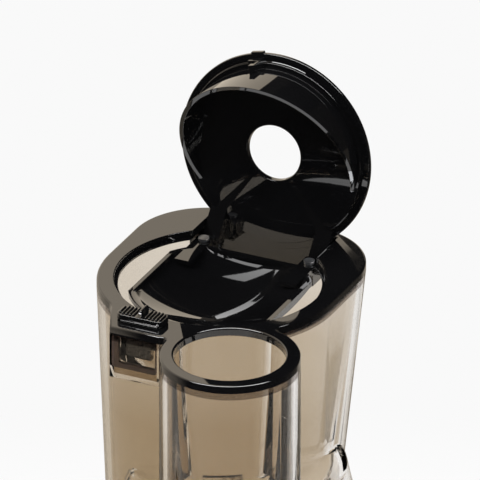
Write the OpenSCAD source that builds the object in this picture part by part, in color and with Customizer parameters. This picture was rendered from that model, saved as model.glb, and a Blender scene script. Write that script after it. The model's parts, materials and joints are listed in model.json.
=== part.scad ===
// Vertical cold press juicer: motor base, juicing bowl, screw and strainer, and a feed hopper
// with a wide round mouth, a flip lid with its gate, and a small round side chute.
// Origin: on the screw's axis, at the surface that the feet stand on. +Z up, -Y is the front.

/* [Base] */
// Half width of the base at its foot
base_half_w = 80; // [76:1:86]
// Distance from the axis to the base's front
base_front = 74; // [70:1:80]
// Distance from the axis to the base's back
base_back = 100; // [96:1:104]
// Corner radius of the base in plan
base_corner = 34; // [24:1:40]
// Height of the base's deck above the table
deck_z = 186; // [182:1:196]
// Wall of the base housing
base_wall = 3; // [2.4:0.1:3.6]
// Height of a foot below the bottom cover
foot_h = 4; // [3:0.5:6]
// Radius of a foot
foot_r = 10; // [8:0.5:13]
// Radius of the control knob
knob_r = 19; // [15:0.5:21]
// Height of the knob's axis
knob_z = 92; // [80:1:104]

/* [Drive] */
// Radius of the motor's can
motor_r = 35; // [32:1:36]
// Height of the motor's can
motor_h = 78; // [66:1:82]
// Distance from the screw's axis to the motor's axis
motor_y = 56; // [53:1:58]
// Teeth of the motor pinion
pinion_teeth = 12; // [12:1:14]
// Teeth of the big wheel of the middle gear
wheel_teeth = 60; // [52:1:62]
// Module of the first gear stage
stage1_module = 0.9; // [0.8:0.05:0.95]
// Teeth of the small wheel of the middle gear
second_teeth = 14; // [13:1:16]
// Teeth of the output gear
output_teeth = 56; // [50:1:58]
// Module of the second gear stage
stage2_module = 1.25; // [1.15:0.05:1.3]
// Play between meshing gear flanks
gear_play = 0.12; // [0.1:0.01:0.2]
// Radius of the output shaft
shaft_r = 8; // [7:0.25:9]
// Running clearance of a shaft in its bore
run_gap = 0.05; // [0.03:0.01:0.08]

/* [Bowl] */
// Outer radius of the juicing bowl
bowl_r = 66; // [64:0.5:68]
// Height of the bowl's wall from its floor
bowl_h = 98; // [94:1:106]
// Wall of the bowl
bowl_wall = 3; // [2.4:0.1:3.2]
// Height of the pulp duct under the bowl's floor
duct_h = 20; // [18:0.5:24]
// Width of the pulp duct
duct_w = 30; // [26:1:34]
// Distance from the axis to the pulp duct's mouth
duct_reach = 98; // [95:1:101]
// Outer radius of the juice spout
spout_r = 12; // [10:0.5:13]
// Distance from the axis to the juice spout's mouth
spout_reach = 97; // [94:1:100]

/* [Screw and strainer] */
// Running gap between the screw's flights and the strainer at the foot
screw_play = 1; // [0.7:0.1:1.6]
// Radius of the screw's core at its top
core_top_r = 12; // [10:0.5:16]
// Turns of the screw's flights
screw_turns = 1.5; // [1:0.25:2]
// Thickness of a screw flight
flight_t = 5; // [3:0.5:7]
// Room between the bowl's inner wall and the strainer at its foot
strainer_gap = 20.5; // [20:0.1:21]
// Widening of the strainer from foot to top
strainer_flare = 1.5; // [0:0.25:2]
// Teeth of the screw's own gear
screw_gear_teeth = 24; // [22:1:24]
// Teeth of the brush idler
idler_teeth = 14; // [12:1:14]
// Module of the brush gears
brush_module = 1.5; // [1.4:0.05:1.5]
// Number of brush blades
blade_count = 3; // [2:1:4]

/* [Hopper] */
// Height of the hopper's top face above the table
top_z = 440; // [430:1:456]
// Side to side place of the mouth's centre
mouth_x = -15.8; // [-17:0.1:-14]
// Front to back place of the mouth's centre
mouth_y = 17.6; // [16.5:0.1:19]
// Side to side place of the small chute
chute_x = 16; // [14:0.5:18]
// Front to back place of the small chute
chute_y = -40; // [-42:0.5:-38]
// Radius of the round front of the tower at its top
tower_r = 48.6; // [48:0.1:50]
// Radius of the tower's two back corners at its top
corner_r = 31.3; // [28:0.1:34]
// Distance from the mouth's centre to the tower's back
tower_back = 56.3; // [56:0.1:60]
// Radius of the round foot of the tower
tower_foot_r = 44; // [43:0.5:45]
// Radius of the tower's two back corners at its waist
waist_r = 30.4; // [30:0.1:31.2]
// Outer radius of the small chute
chute_r = 27.7; // [27:0.1:28.4]
// Wall of the hopper
hopper_wall = 2.8; // [2.4:0.1:3.2]
// Drop from the top face to the shoulder's crown
crown_drop = 68; // [64:1:74]
// Radius of the shoulder at its crown
crown_r = 43.7; // [42:0.1:46]

/* [Top plate] */
// Thickness of the plate's rim
plate_t = 3.2; // [2.8:0.1:4]
// Rounding of the plate's outer edge
plate_round = 0.9; // [0.6:0.1:1.2]
// Radius of the recess that the lid closes into
mouth_r = 41.8; // [41.6:0.1:42.4]
// Radius of the mouth below the lid's recess
throat_r = 40.2; // [40:0.1:40.6]
// Depth of the lid's recess
recess_t = 2.5; // [2.4:0.1:2.7]
// Radius of the chute's hole in the plate
chute_hole_r = 22; // [20:0.25:22.5]
// Width of the latch block
block_w = 21.5; // [20:0.5:24]
// Distance from the mouth's centre to the latch block's front
block_reach = 56.8; // [56:0.1:58.5]
// Side to side place of the latch block from the mouth's centre
block_x = -10; // [-11:0.5:-9]
// Height of the latch pocket under the plate
pocket_h = 18.7; // [17:0.1:21]

/* [Lid and gate] */
// Outer radius of the lid's flange
lid_r = 41.2; // [40.9:0.1:41.4]
// Thickness of the lid's flange
lid_t = 1.9; // [1.5:0.1:2]
// Radius of the hole in the lid
lid_hole_r = 11.6; // [9:0.1:14]
// Outer radius of the lid's skirt
skirt_r = 36.6; // [36:0.1:37]
// Wall of the lid's skirt
skirt_wall = 1.8; // [1.4:0.1:2.4]
// Depth of the skirt on the lid's axis
skirt_mid = 10.2; // [8:0.1:11]
// Extra depth of the skirt at its deepest side
skirt_slant = 17.8; // [14:0.1:18]
// Angle round the lid from its front to the skirt's deepest side
skirt_turn = 7; // [0:1:12]
// Angle that the lid stands open
lid_open = 94; // [88:1:94]
// Distance from the mouth's centre to the lid's hinge
hinge_y = 41.4; // [41:0.1:41.8]
// Depth of the hinge's axis below the top face
hinge_drop = 8.6; // [8.2:0.1:9]
// Half width of the notch that the lid's back edge drops into
notch_half_w = 27; // [26.5:0.1:27.5]
// Radius of a hinge pin
hinge_pin_r = 1.5; // [1.2:0.1:1.8]
// Radius of the gate's rim
gate_r = 36.4; // [34:0.1:36.6]
// Half width of the gate at its straight sides
gate_half_w = 31; // [30:0.5:31]
// Depth of the gate's scoop
gate_depth = 6; // [4:0.5:6.5]
// Wall of the gate
gate_wall = 1.6; // [1.4:0.1:2]
// Angle round the lid from its front to its hook
hook_turn = 13; // [10:1:16]
// Width of the lid's hook
hook_w = 5.6; // [4:0.1:7]

/* [Latch] */
// Length of the latch slider
slider_l = 20; // [18:0.5:21]
// Depth of the latch slider, front to back
slider_w = 8.4; // [7:0.1:9]
// Distance from the mouth's centre to the slider's middle
slider_reach = 46.6; // [46.4:0.1:47]
// Ribs on each half of the slider
rib_count = 5; // [3:1:6]
// Travel of the latch slider
slider_travel = 2; // [1.5:0.25:2.25]

/* [Hidden] */

// Facets of big, middle and small round forms
fine = 96;
medium = 48;
small = 24;
// Clearance between pieces that are fitted by hand, and the overshoot of cuts
slip = 0.3;
over = 1;

// Base heights and places
cover_t = 3;
housing_z = foot_h + cover_t + slip;
deck_step = 8;
shoulder_z = deck_z - deck_step;
deck_r = 60;
top_r = 68;
tail_r = 62;
tail_y = 34;
ceiling_z = shoulder_z - base_wall;
seat_r = 44;
ring_w = 3.6;
foot_x = base_half_w - 24;
foot_front_y = 26 - base_front;
foot_back_y = base_back - 26;
boss_r = 5;
boss_x = base_half_w - 9;
boss_front_y = 46 - base_front;
boss_back_y = base_back - 46;
bolt_r = 1.6;
bolt_head_r = 3;
knob_pad_x = base_half_w - 1;
knob_pad_r = knob_r + 4;
knob_reach = knob_pad_x + 19;
stem_hole_r = 6;
board_w = 60;
board_l = 44;
board_t = 1.6;
board_y = -50;
board_edge = 6;
board_post_r = 2.5;
board_post_h = 8;
can_r = 6;
can_h = 18;
can_pitch = 18;
sink_h = 14;
inlet_x = 40;
inlet_z = 34;
inlet_r = 6;
interlock_y = 51;
vent_count = 9;
vent_pitch = 8;
vent_w = 3;
vent_h = 26;
vent_z = 60;

// Gearbox, hung from the base's ceiling; the motor hangs from the gearbox
bearing_r = 13;
bearing_t = 8;
stage1_gap = stage1_module * (pinion_teeth + wheel_teeth) / 2;
stage2_gap = stage2_module * (second_teeth + output_teeth) / 2;
middle_y = (stage2_gap ^ 2 - stage1_gap ^ 2 + motor_y ^ 2) / (2 * motor_y);
middle_x = sqrt(stage2_gap ^ 2 - middle_y ^ 2);
case_wall = 3;
case_lid_t = 4;
case_lid_z = ceiling_z - bearing_t - 4;
second_t = 13;
second_z = case_lid_z - 3 - second_t;
wheel_t = 8;
wheel_z = second_z - wheel_t;
case_z = wheel_z - 3;
case_floor_z = case_z - case_wall;
output_t = second_t - 2;
output_z = second_z + 1;
case_r = stage2_module * output_teeth / 2 + stage2_module + 5 + case_wall;
case_wheel_r = stage1_module * wheel_teeth / 2 + stage1_module + 2 + case_wall;
case_motor_r = motor_r - 4;
ear_r = 6;
ear_spots = [[-case_r * 0.98, -case_r * 0.35], [case_r * 0.4, -case_r * 0.96], [-case_r * 0.94,
    case_r * 0.72]];
middle_pin_r = 3;
motor_shaft_r = 2.5;
motor_z = case_floor_z - motor_h;
motor_fan_r = motor_r - 10;
motor_bolt_r = motor_r - 12;
winding_r = motor_r - 12;
winding_z = 18;
winding_end = 16;
winding_gap = 2;
bolt_l = 16;
hex_r = shaft_r - 1;
hex_z = deck_z + 6;
shaft_top = deck_z + 58;

// Bowl heights and places
duct_z = deck_z + 2;
duct_wall = 2;
floor_z = duct_z + duct_h;
floor_t = 4;
floor_top = floor_z + floor_t;
bowl_in_r = bowl_r - bowl_wall;
rim_z = floor_z + bowl_h;
neck_r = seat_r - slip;
neck_wall = 3;
stem_r = 11;
floor_bore_r = stem_r + 3;
ledge_z = rim_z - 16;
ledge_w = 2;
lug_count = 3;
lug_angle = 22;
lug_turn = 26;
lug_out = 3;
lug_t = 3;
lug_z = rim_z - 9;
spout_z = floor_top + spout_r + 2;
spout_wall = 2.5;
cap_t = 3;
cap_pin_r = 1.5;
cap_hinge_z = spout_z + spout_r + 3.2;
cap_hinge_y = 2.2 - spout_reach;
lever_in = 26;
lever_x = lever_in - duct_reach;
lever_t = 2.4;
lever_pin_r = 1.2;
lever_l = duct_reach + lever_x - 3;
lever_z = duct_z - 2.2;
drain_l = 12;
drain_w = 16;
drain_x = lever_x - 4 - drain_l;
pulp_slot_in = 21;
pulp_slot_out = 36;
pulp_slot_w = 22;

// Screw, strainer and brush
strainer_r = bowl_in_r - strainer_gap;
screw_r = strainer_r - screw_play;
screw_neck_r = brush_module * (screw_gear_teeth / 2 - 1.25) - 0.1;
idler_gap = brush_module * (screw_gear_teeth + idler_teeth) / 2;
idler_turn_place = 20;
idler_pin_r = 3;
ring_teeth = screw_gear_teeth + 2 * idler_teeth;
ring_pitch_r = brush_module * ring_teeth / 2;
brush_ring_r = ring_pitch_r + brush_module * 1.25 + 3.2;
gear_z = floor_top + 1.5;
gear_t = 7;
strainer_z = gear_z + gear_t + 3.6;
flange_t = 3;
strainer_top = ledge_z + flange_t;
mesh_t = 0.6;
rib_t = 3;
window_count = 16;
screw_top = strainer_top + 4;
socket_r = 9.5;
socket_top = shaft_top + 3;
post_r = bowl_in_r - 9;
post_t = 4;
blade_t = 2.4;
blade_top = ledge_z - 2;

// Hopper
collar_in_r = bowl_r + 0.4;
collar_r = bowl_r + 6;
collar_z = rim_z - 16;
seal_t = 1.5;
web_z = rim_z + seal_t;
web_t = 3.5;
plug_r = bowl_in_r - slip;
plug_wall = 2;
shoulder_foot_z = web_z + web_t;
shoulder_foot_r = collar_r - 1.5;
crown_round = 2.6;
crown_soft = 5;
shoulder_start = top_z - crown_drop - crown_round;
shoulder_steps = 10;
waist_x = 10;
waist_z = top_z - crown_drop;
shoulder_lean = 0.46;
plate_z = top_z - plate_t;
chute_in_r = chute_r - hopper_wall;
mouth = [mouth_x, mouth_y];
chute = [chute_x, chute_y];

// Top plate, latch and hinge; heights here run from the top face
lip_t = 2;
lip_gap = 0.25;
lip_h = 5.8;
lip_drop = plate_t + lip_h;
neck_round = 10;
notch_round = 2;
block_flare = 0.45;
notch_back = 51.4;
hinge_z = top_z - hinge_drop;
knuckle_w = 7;
knuckle_r = 3.4;
ear_t = 4;
pocket_wall = 1.5;
slider_x = block_x - 1.6;
slider_top = 2;
tongue_l = 13;
tongue_w = 2.6;
tongue_drop = 14;
tongue_y = -block_reach + 5.2;
stem_w = 1.4;
stem_y = tongue_y + tongue_w - stem_w;
finger_w = 2.2;
finger_t = 2.4;
finger_drop = 9.2;
hook_x = -sin(hook_turn) * throat_r;
finger_x = hook_x + hook_w / 2 + 0.9;

// Lid and gate; heights here run from the top face
lid_gap = 0.3;
disc_t = 3;
disc_drop = lid_gap + 0.5;
skirt_foot = disc_drop + disc_t;
tail_half_w = 22;
tail_reach = 48.2;
gate_drop = 4;
gate_back = 30;
hook_out_r = throat_r - 0.5;
hook_drop = 12;
gate_arm_t = 3;
gate_seat = hinge_drop - gate_drop - gate_arm_t;
gate_screw_r = 1.2;
gate_screw_y = hinge_y - 8;

// ---------- helpers ----------

module tube(r, in_r, h) {
    difference() {
        cylinder(r = r, h = h, $fn = fine);
        translate([0, 0, -over]) cylinder(r = in_r, h = h + 2 * over, $fn = fine);
    }
}

module at(p, z = 0) {
    translate([p[0], p[1], z]) children();
}

module around(count, turn = 0) {
    for (i = [0 : count - 1]) rotate(turn + i * 360 / count) children();
}

// A wedge that spans an angle on both sides of +X
module wedge(angle, r, h) {
    linear_extrude(h) polygon([[0, 0], [r, -r * tan(angle / 2)], [r, r * tan(angle / 2)]]);
}

// Involute gear outline
function roll(a) = tan(a) * 180 / PI - a;
function half_tooth(teeth, m, r, play) =
    let (pitch = teeth * m / 2, base = pitch * cos(20))
    90 / teeth + roll(20) - roll(acos(min(1, base / max(r, base)))) - play / pitch * 90 / PI;
function gear_points(teeth, m, tip, root, play) =
    let (pitch = teeth * m / 2, base = pitch * cos(20), low = pitch - root * m, high = pitch + tip * m)
    let (radii = [low, max(low + 0.05, base + 0.02), pitch, high])
    [for (i = [0 : teeth - 1]) for (side = [-1, 1]) for (k = [0 : 3])
        let (r = radii[side < 0 ? k : 3 - k])
        let (a = i * 360 / teeth + side * half_tooth(teeth, m, r, play))
        [r * cos(a), r * sin(a)]];

module spur(teeth, m, h, bore_r) {
    linear_extrude(h) difference() {
        polygon(gear_points(teeth, m, 1, 1.25, gear_play));
        circle(r = bore_r, $fn = medium);
    }
}

// Turn of a gear in mesh with one at turn a, whose centres lie on a line at angle "line"
function mesh_turn(line, a, teeth_a, teeth_b) =
    line + 180 - (0.5 - (line - a) * teeth_a / 360) * 360 / teeth_b;
function ring_mesh_turn(line, a, teeth_a, teeth_b) =
    line - (line - a) * teeth_a / teeth_b;

line_1 = atan2(middle_y - motor_y, middle_x);
line_2 = atan2(-middle_y, -middle_x);
wheel_turn = mesh_turn(line_1, 0, pinion_teeth, wheel_teeth);
output_turn = mesh_turn(line_2, wheel_turn, second_teeth, output_teeth);
idler_turn = mesh_turn(idler_turn_place, 0, screw_gear_teeth, idler_teeth);
ring_turn = ring_mesh_turn(idler_turn_place, idler_turn, idler_teeth, ring_teeth);

// ---------- base ----------

module base_foot(inset, z, h) {
    for (sx = [-1, 1]) for (y = [base_corner - base_front, base_back - base_corner])
        translate([sx * (base_half_w - base_corner), y, z])
            cylinder(r = base_corner - inset, h = h, $fn = 32);
}

module base_form(inset, bottom, top) {
    slab = 0.5;
    hull() {
        base_foot(inset + 2.5, bottom, slab);
        base_foot(inset, bottom + 3, 14);
        translate([0, 0, top - 4]) cylinder(r = top_r - inset, h = slab, $fn = 32);
        translate([0, tail_y, top - 4]) cylinder(r = tail_r - inset, h = slab, $fn = 32);
        translate([0, 0, top - slab]) cylinder(r = top_r - inset - 3, h = slab, $fn = 32);
        translate([0, tail_y, top - slab]) cylinder(r = tail_r - inset - 3, h = slab, $fn = 32);
    }
}

module boss_places() {
    for (turn = [0, 180]) for (y = [boss_front_y, boss_back_y])
        translate([0, y, 0]) rotate(turn) translate([boss_x, 0, 0]) children();
}

module base_housing() {
    color([0.07, 0.07, 0.075]) difference() {
        union() {
            difference() {
                union() {
                    base_form(0, housing_z, shoulder_z);
                    translate([0, 0, shoulder_z - over])
                        cylinder(r = deck_r, h = deck_step + over, $fn = fine);
                    translate([knob_pad_x - 20, 0, knob_z]) rotate([0, 90, 0])
                        cylinder(r = knob_pad_r, h = 20, $fn = medium);
                }
                difference() {
                    base_form(base_wall, housing_z - 0.6, ceiling_z);
                    translate([knob_pad_x - 9, 0, knob_z]) rotate([0, 90, 0])
                        cylinder(r = knob_pad_r - 3, h = 20, $fn = medium);
                }
                translate([0, 0, ceiling_z - over])
                    cylinder(r = deck_r - base_wall, h = deck_step + over, $fn = fine);
            }
            boss_places() translate([0, 0, housing_z]) {
                cylinder(r = boss_r, h = 18, $fn = small);
                translate([0, -2, 3]) cube([6.8, 4, 14]);
            }
            for (p = ear_spots) at(p, case_lid_z + case_lid_t)
                cylinder(r = ear_r, h = deck_z - case_lid_z - case_lid_t - 2, $fn = small);
            translate([0, 0, deck_z - 7]) cylinder(r = bearing_r + 3, h = 7, $fn = medium);
        }
        translate([0, 0, deck_z - 8]) cylinder(r = bearing_r, h = 10, $fn = fine);
        boss_places() translate([0, 0, housing_z - over]) cylinder(r = bolt_r, h = bolt_l, $fn = small);
        for (p = ear_spots) at(p, case_lid_z) cylinder(r = bolt_r, h = 14, $fn = small);
        translate([knob_pad_x - 24, 0, knob_z]) rotate([0, 90, 0])
            cylinder(r = stem_hole_r, h = 30, $fn = medium);
        for (i = [0 : vent_count - 1])
            translate([(i - (vent_count - 1) / 2) * vent_pitch - vent_w / 2, base_back - 14, vent_z])
                cube([vent_w, 30, vent_h]);
        translate([inlet_x, base_back - 20, inlet_z]) rotate([-90, 0, 0])
            cylinder(r = inlet_r, h = 40, $fn = medium);
        translate([-3, interlock_y - 1.5, deck_z - 8]) cube([6, 3, 12]);
    }
}

module bottom_cover() {
    color([0.09, 0.09, 0.09]) difference() {
        hull() base_foot(3, foot_h, cover_t);
        boss_places() translate([0, 0, foot_h - over]) {
            cylinder(r = bolt_r, h = cover_t + 2 * over, $fn = small);
            cylinder(r = bolt_head_r, h = over + 1.6, $fn = small);
        }
        for (i = [-4 : 4]) translate([i * vent_pitch - vent_w / 2, 14, foot_h - over])
            cube([vent_w, 30, cover_t + 2 * over]);
    }
}

module feet() {
    color([0.13, 0.13, 0.13]) for (sx = [-1, 1]) for (y = [foot_front_y, foot_back_y])
        translate([sx * foot_x, y, 0]) {
            cylinder(r1 = foot_r - 1.2, r2 = foot_r, h = 1.2, $fn = medium);
            translate([0, 0, 1.2]) cylinder(r = foot_r, h = foot_h - 1.2, $fn = medium);
        }
}

module bottom_screws() {
    color([0.6, 0.6, 0.62]) boss_places() translate([0, 0, foot_h]) {
        cylinder(r = bolt_head_r, h = 1.6, $fn = small);
        cylinder(r = bolt_r, h = bolt_l, $fn = small);
    }
}

module deck_ring() {
    color([0.55, 0.55, 0.56]) translate([0, 0, deck_z]) rotate_extrude($fn = fine)
        polygon([[seat_r, 0], [seat_r + ring_w, 0], [seat_r + ring_w, 0.6], [seat_r + ring_w - 1, 1.6],
            [seat_r, 1.6]]);
}

// ---------- motor and gearbox ----------

module case_plan(inset) {
    hull() {
        circle(r = case_r - inset, $fn = medium);
        at([middle_x, middle_y]) circle(r = case_wheel_r - inset, $fn = medium);
        at([0, motor_y]) circle(r = case_motor_r - inset, $fn = medium);
    }
}

module motor_bolts() {
    at([0, motor_y]) for (a = [75, 255]) rotate(a) translate([motor_bolt_r, 0, 0]) children();
}

module gearbox_case() {
    color([0.3, 0.3, 0.32]) difference() {
        union() {
            difference() {
                union() {
                    translate([0, 0, case_floor_z]) linear_extrude(case_lid_z - case_floor_z) case_plan(0);
                    for (p = ear_spots) at(p, case_floor_z)
                        cylinder(r = ear_r, h = case_lid_z - case_floor_z, $fn = small);
                }
                translate([0, 0, case_z]) linear_extrude(case_lid_z) case_plan(case_wall);
            }
            translate([0, 0, case_z - bearing_t - 2])
                cylinder(r = bearing_r + 2.5, h = bearing_t + 2, $fn = medium);
        }
        translate([0, 0, case_z - bearing_t]) cylinder(r = bearing_r, h = bearing_t + over, $fn = fine);
        at([middle_x, middle_y], case_floor_z + 1) cylinder(r = middle_pin_r, h = 10, $fn = small);
        at([0, motor_y], case_floor_z - over) cylinder(r = 8, h = 10, $fn = medium);
        motor_bolts() translate([0, 0, case_floor_z - over]) cylinder(r = bolt_r, h = 10, $fn = small);
        for (p = ear_spots) at(p, case_floor_z - over)
            cylinder(r = bolt_r, h = case_lid_z - case_floor_z + 2 * over, $fn = small);
    }
}

module gearbox_lid() {
    color([0.36, 0.36, 0.38]) difference() {
        translate([0, 0, case_lid_z]) union() {
            linear_extrude(case_lid_t) case_plan(0);
            for (p = ear_spots) at(p) cylinder(r = ear_r, h = case_lid_t, $fn = small);
            cylinder(r = bearing_r + 3, h = bearing_t + 3, $fn = fine);
        }
        translate([0, 0, case_lid_z + 2]) cylinder(r = bearing_r, h = 20, $fn = fine);
        translate([0, 0, case_lid_z - over]) cylinder(r = shaft_r + 2, h = 20, $fn = medium);
        at([middle_x, middle_y], case_lid_z - over) cylinder(r = middle_pin_r, h = 3 + over, $fn = small);
        for (p = ear_spots) at(p, case_lid_z - over) cylinder(r = bolt_r, h = 20, $fn = small);
    }
}

module gearbox_screws() {
    color([0.6, 0.6, 0.62]) for (p = ear_spots) at(p, case_floor_z - 2) {
        cylinder(r = bolt_head_r, h = 2, $fn = small);
        cylinder(r = bolt_r, h = case_lid_z + 12 - case_floor_z, $fn = small);
    }
}

module motor_can() {
    color([0.55, 0.56, 0.58]) at([0, motor_y], motor_z) difference() {
        union() {
            cylinder(r = motor_r - 3, h = 4, $fn = fine);
            translate([0, 0, 4]) cylinder(r = motor_r, h = motor_h - 12, $fn = fine);
            translate([0, 0, motor_h - 8]) cylinder(r = motor_r - 3, h = 8, $fn = fine);
        }
        translate([0, 0, winding_z])
            cylinder(r = winding_r, h = motor_h - winding_z - winding_end, $fn = fine);
        translate([0, 0, -over]) cylinder(r = motor_shaft_r + run_gap, h = motor_h + 2 * over, $fn = small);
        translate([0, 0, -over]) cylinder(r = motor_fan_r, h = 12, $fn = fine);
        translate([0, -motor_y, -motor_z]) motor_bolts()
            translate([0, 0, case_floor_z - 5]) cylinder(r = bolt_r, h = 10, $fn = small);
    }
}

module motor_screws() {
    color([0.6, 0.6, 0.62]) motor_bolts() {
        translate([0, 0, case_z]) cylinder(r = bolt_head_r, h = 2, $fn = small);
        translate([0, 0, case_floor_z - 5]) cylinder(r = bolt_r, h = 5 + case_wall, $fn = small);
    }
}

module motor_rotor() {
    color([0.62, 0.45, 0.3]) at([0, motor_y], motor_z + winding_z + winding_gap)
        cylinder(r = winding_r - 2 * slip, h = motor_h - winding_z - winding_end - 2 * winding_gap,
            $fn = fine);
    color([0.75, 0.75, 0.77]) at([0, motor_y], motor_z - 4)
        cylinder(r = motor_shaft_r, h = second_z + 6 - motor_z, $fn = small);
}

module motor_pinion() {
    color([0.75, 0.7, 0.45]) at([0, motor_y], wheel_z - 1)
        spur(pinion_teeth, stage1_module, wheel_t + 2, motor_shaft_r);
}

module motor_fan() {
    color([0.2, 0.2, 0.2]) at([0, motor_y], motor_z + 1) {
        tube(6, motor_shaft_r, 6);
        around(7) translate([5.5, -0.8, 0]) cube([motor_fan_r - 7.5, 1.6, 6]);
        tube(motor_fan_r - 1, motor_fan_r - 2.5, 6);
    }
}

module middle_gear() {
    color([0.86, 0.84, 0.78]) at([middle_x, middle_y], wheel_z) rotate(wheel_turn) {
        spur(wheel_teeth, stage1_module, wheel_t, middle_pin_r + run_gap);
        translate([0, 0, wheel_t]) spur(second_teeth, stage2_module, second_t, middle_pin_r + run_gap);
    }
}

module middle_gear_pin() {
    color([0.75, 0.75, 0.77]) at([middle_x, middle_y], case_floor_z + 1)
        cylinder(r = middle_pin_r, h = case_lid_z - case_floor_z + 1.6, $fn = small);
}

module output_gear() {
    color([0.86, 0.84, 0.78]) translate([0, 0, output_z]) rotate(output_turn)
        spur(output_teeth, stage2_module, output_t, shaft_r);
}

module output_shaft() {
    color([0.78, 0.78, 0.8]) {
        translate([0, 0, case_z - bearing_t])
            cylinder(r = shaft_r, h = hex_z - case_z + bearing_t, $fn = medium);
        translate([0, 0, hex_z]) cylinder(r = hex_r, h = shaft_top - hex_z, $fn = 6);
    }
}

module lower_bearing() {
    color([0.7, 0.7, 0.72]) translate([0, 0, case_z - bearing_t])
        tube(bearing_r, shaft_r + run_gap, bearing_t);
}

module upper_bearing() {
    color([0.7, 0.7, 0.72]) translate([0, 0, case_lid_z + 2]) tube(bearing_r, shaft_r + run_gap, bearing_t);
}

module shaft_seal() {
    color([0.15, 0.15, 0.15]) translate([0, 0, deck_z - 6]) tube(bearing_r, shaft_r + run_gap, 7.2);
}

// ---------- controls ----------

module control_board() {
    board_z = housing_z + board_post_h;
    post_x = board_w / 2 - board_edge;
    color([0.1, 0.35, 0.2]) {
        translate([-board_w / 2, board_y, board_z]) cube([board_w, board_l, board_t]);
        for (x = [-post_x, post_x]) for (y = [board_y + board_edge, board_y + board_l - board_edge])
            translate([x, y, housing_z]) cylinder(r = board_post_r, h = board_post_h, $fn = small);
    }
    color([0.2, 0.2, 0.22]) {
        for (x = [-1, 0, 1]) translate([x * can_pitch, board_y + 2 * board_edge, board_z + board_t])
            cylinder(r = can_r, h = can_h, $fn = small);
        translate([-post_x, board_y + board_l - 3 * board_edge, board_z + board_t])
            cube([2 * post_x, 2 * board_edge, sink_h]);
    }
}

module speed_switch() {
    color([0.2, 0.2, 0.22]) translate([knob_pad_x - 9 - slip - 12, 0, knob_z])
        rotate([0, 90, 0]) tube(15, 3 + run_gap, 12);
}

module control_knob() {
    color([0.1, 0.1, 0.1]) translate([0, 0, knob_z]) rotate([0, 90, 0]) {
        translate([0, 0, knob_pad_x - 19]) cylinder(r = 3, h = 12, $fn = small);
        translate([0, 0, knob_pad_x - 8.7]) cylinder(r = stem_hole_r - run_gap, h = 10, $fn = medium);
        translate([0, 0, knob_pad_x + slip]) rotate_extrude($fn = fine) polygon([[0, 0], [knob_r, 0],
            [knob_r, 2.5], [knob_r - 3, 5], [knob_r - 3.5, 11], [knob_r - 5, 12.5], [0, 12.5]]);
        translate([-knob_r + 2.5, -3.5, knob_pad_x + 2])
            cube([2 * knob_r - 5, 7, knob_reach - knob_pad_x - 2]);
    }
}

module interlock_switch() {
    color([0.15, 0.15, 0.16]) {
        translate([-10, interlock_y - 3, deck_z - 13]) cube([20, 6, 9.7]);
        translate([-2.6, interlock_y - 1.2, deck_z - 3.3]) cube([5.2, 2.4, 4.3]);
    }
}

module cord_inlet() {
    color([0.12, 0.12, 0.12]) translate([inlet_x, 0, inlet_z]) rotate([-90, 0, 0]) difference() {
        union() {
            translate([0, 0, base_back - 8]) cylinder(r = inlet_r, h = 9, $fn = medium);
            translate([0, 0, base_back])
                cylinder(r1 = inlet_r + 3, r2 = inlet_r + 1, h = 4.6, $fn = medium);
        }
        translate([0, 0, base_back - 9]) cylinder(r = 3.6, h = 30, $fn = medium);
    }
}

// ---------- bowl ----------

// The duct's box, or with a wall given, its hollow
module pulp_duct(wall) {
    start = wall > 0 ? duct_reach + over : duct_reach;
    translate([-start, wall - duct_w / 2, duct_z + wall])
        cube([start - pulp_slot_in + 4 - wall, duct_w - 2 * wall,
            duct_h - 2 * wall + (wall > 0 ? 0 : over)]);
}

module spout_axis(from) {
    translate([0, -from, spout_z]) rotate([90, 0, 0]) children();
}

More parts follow.
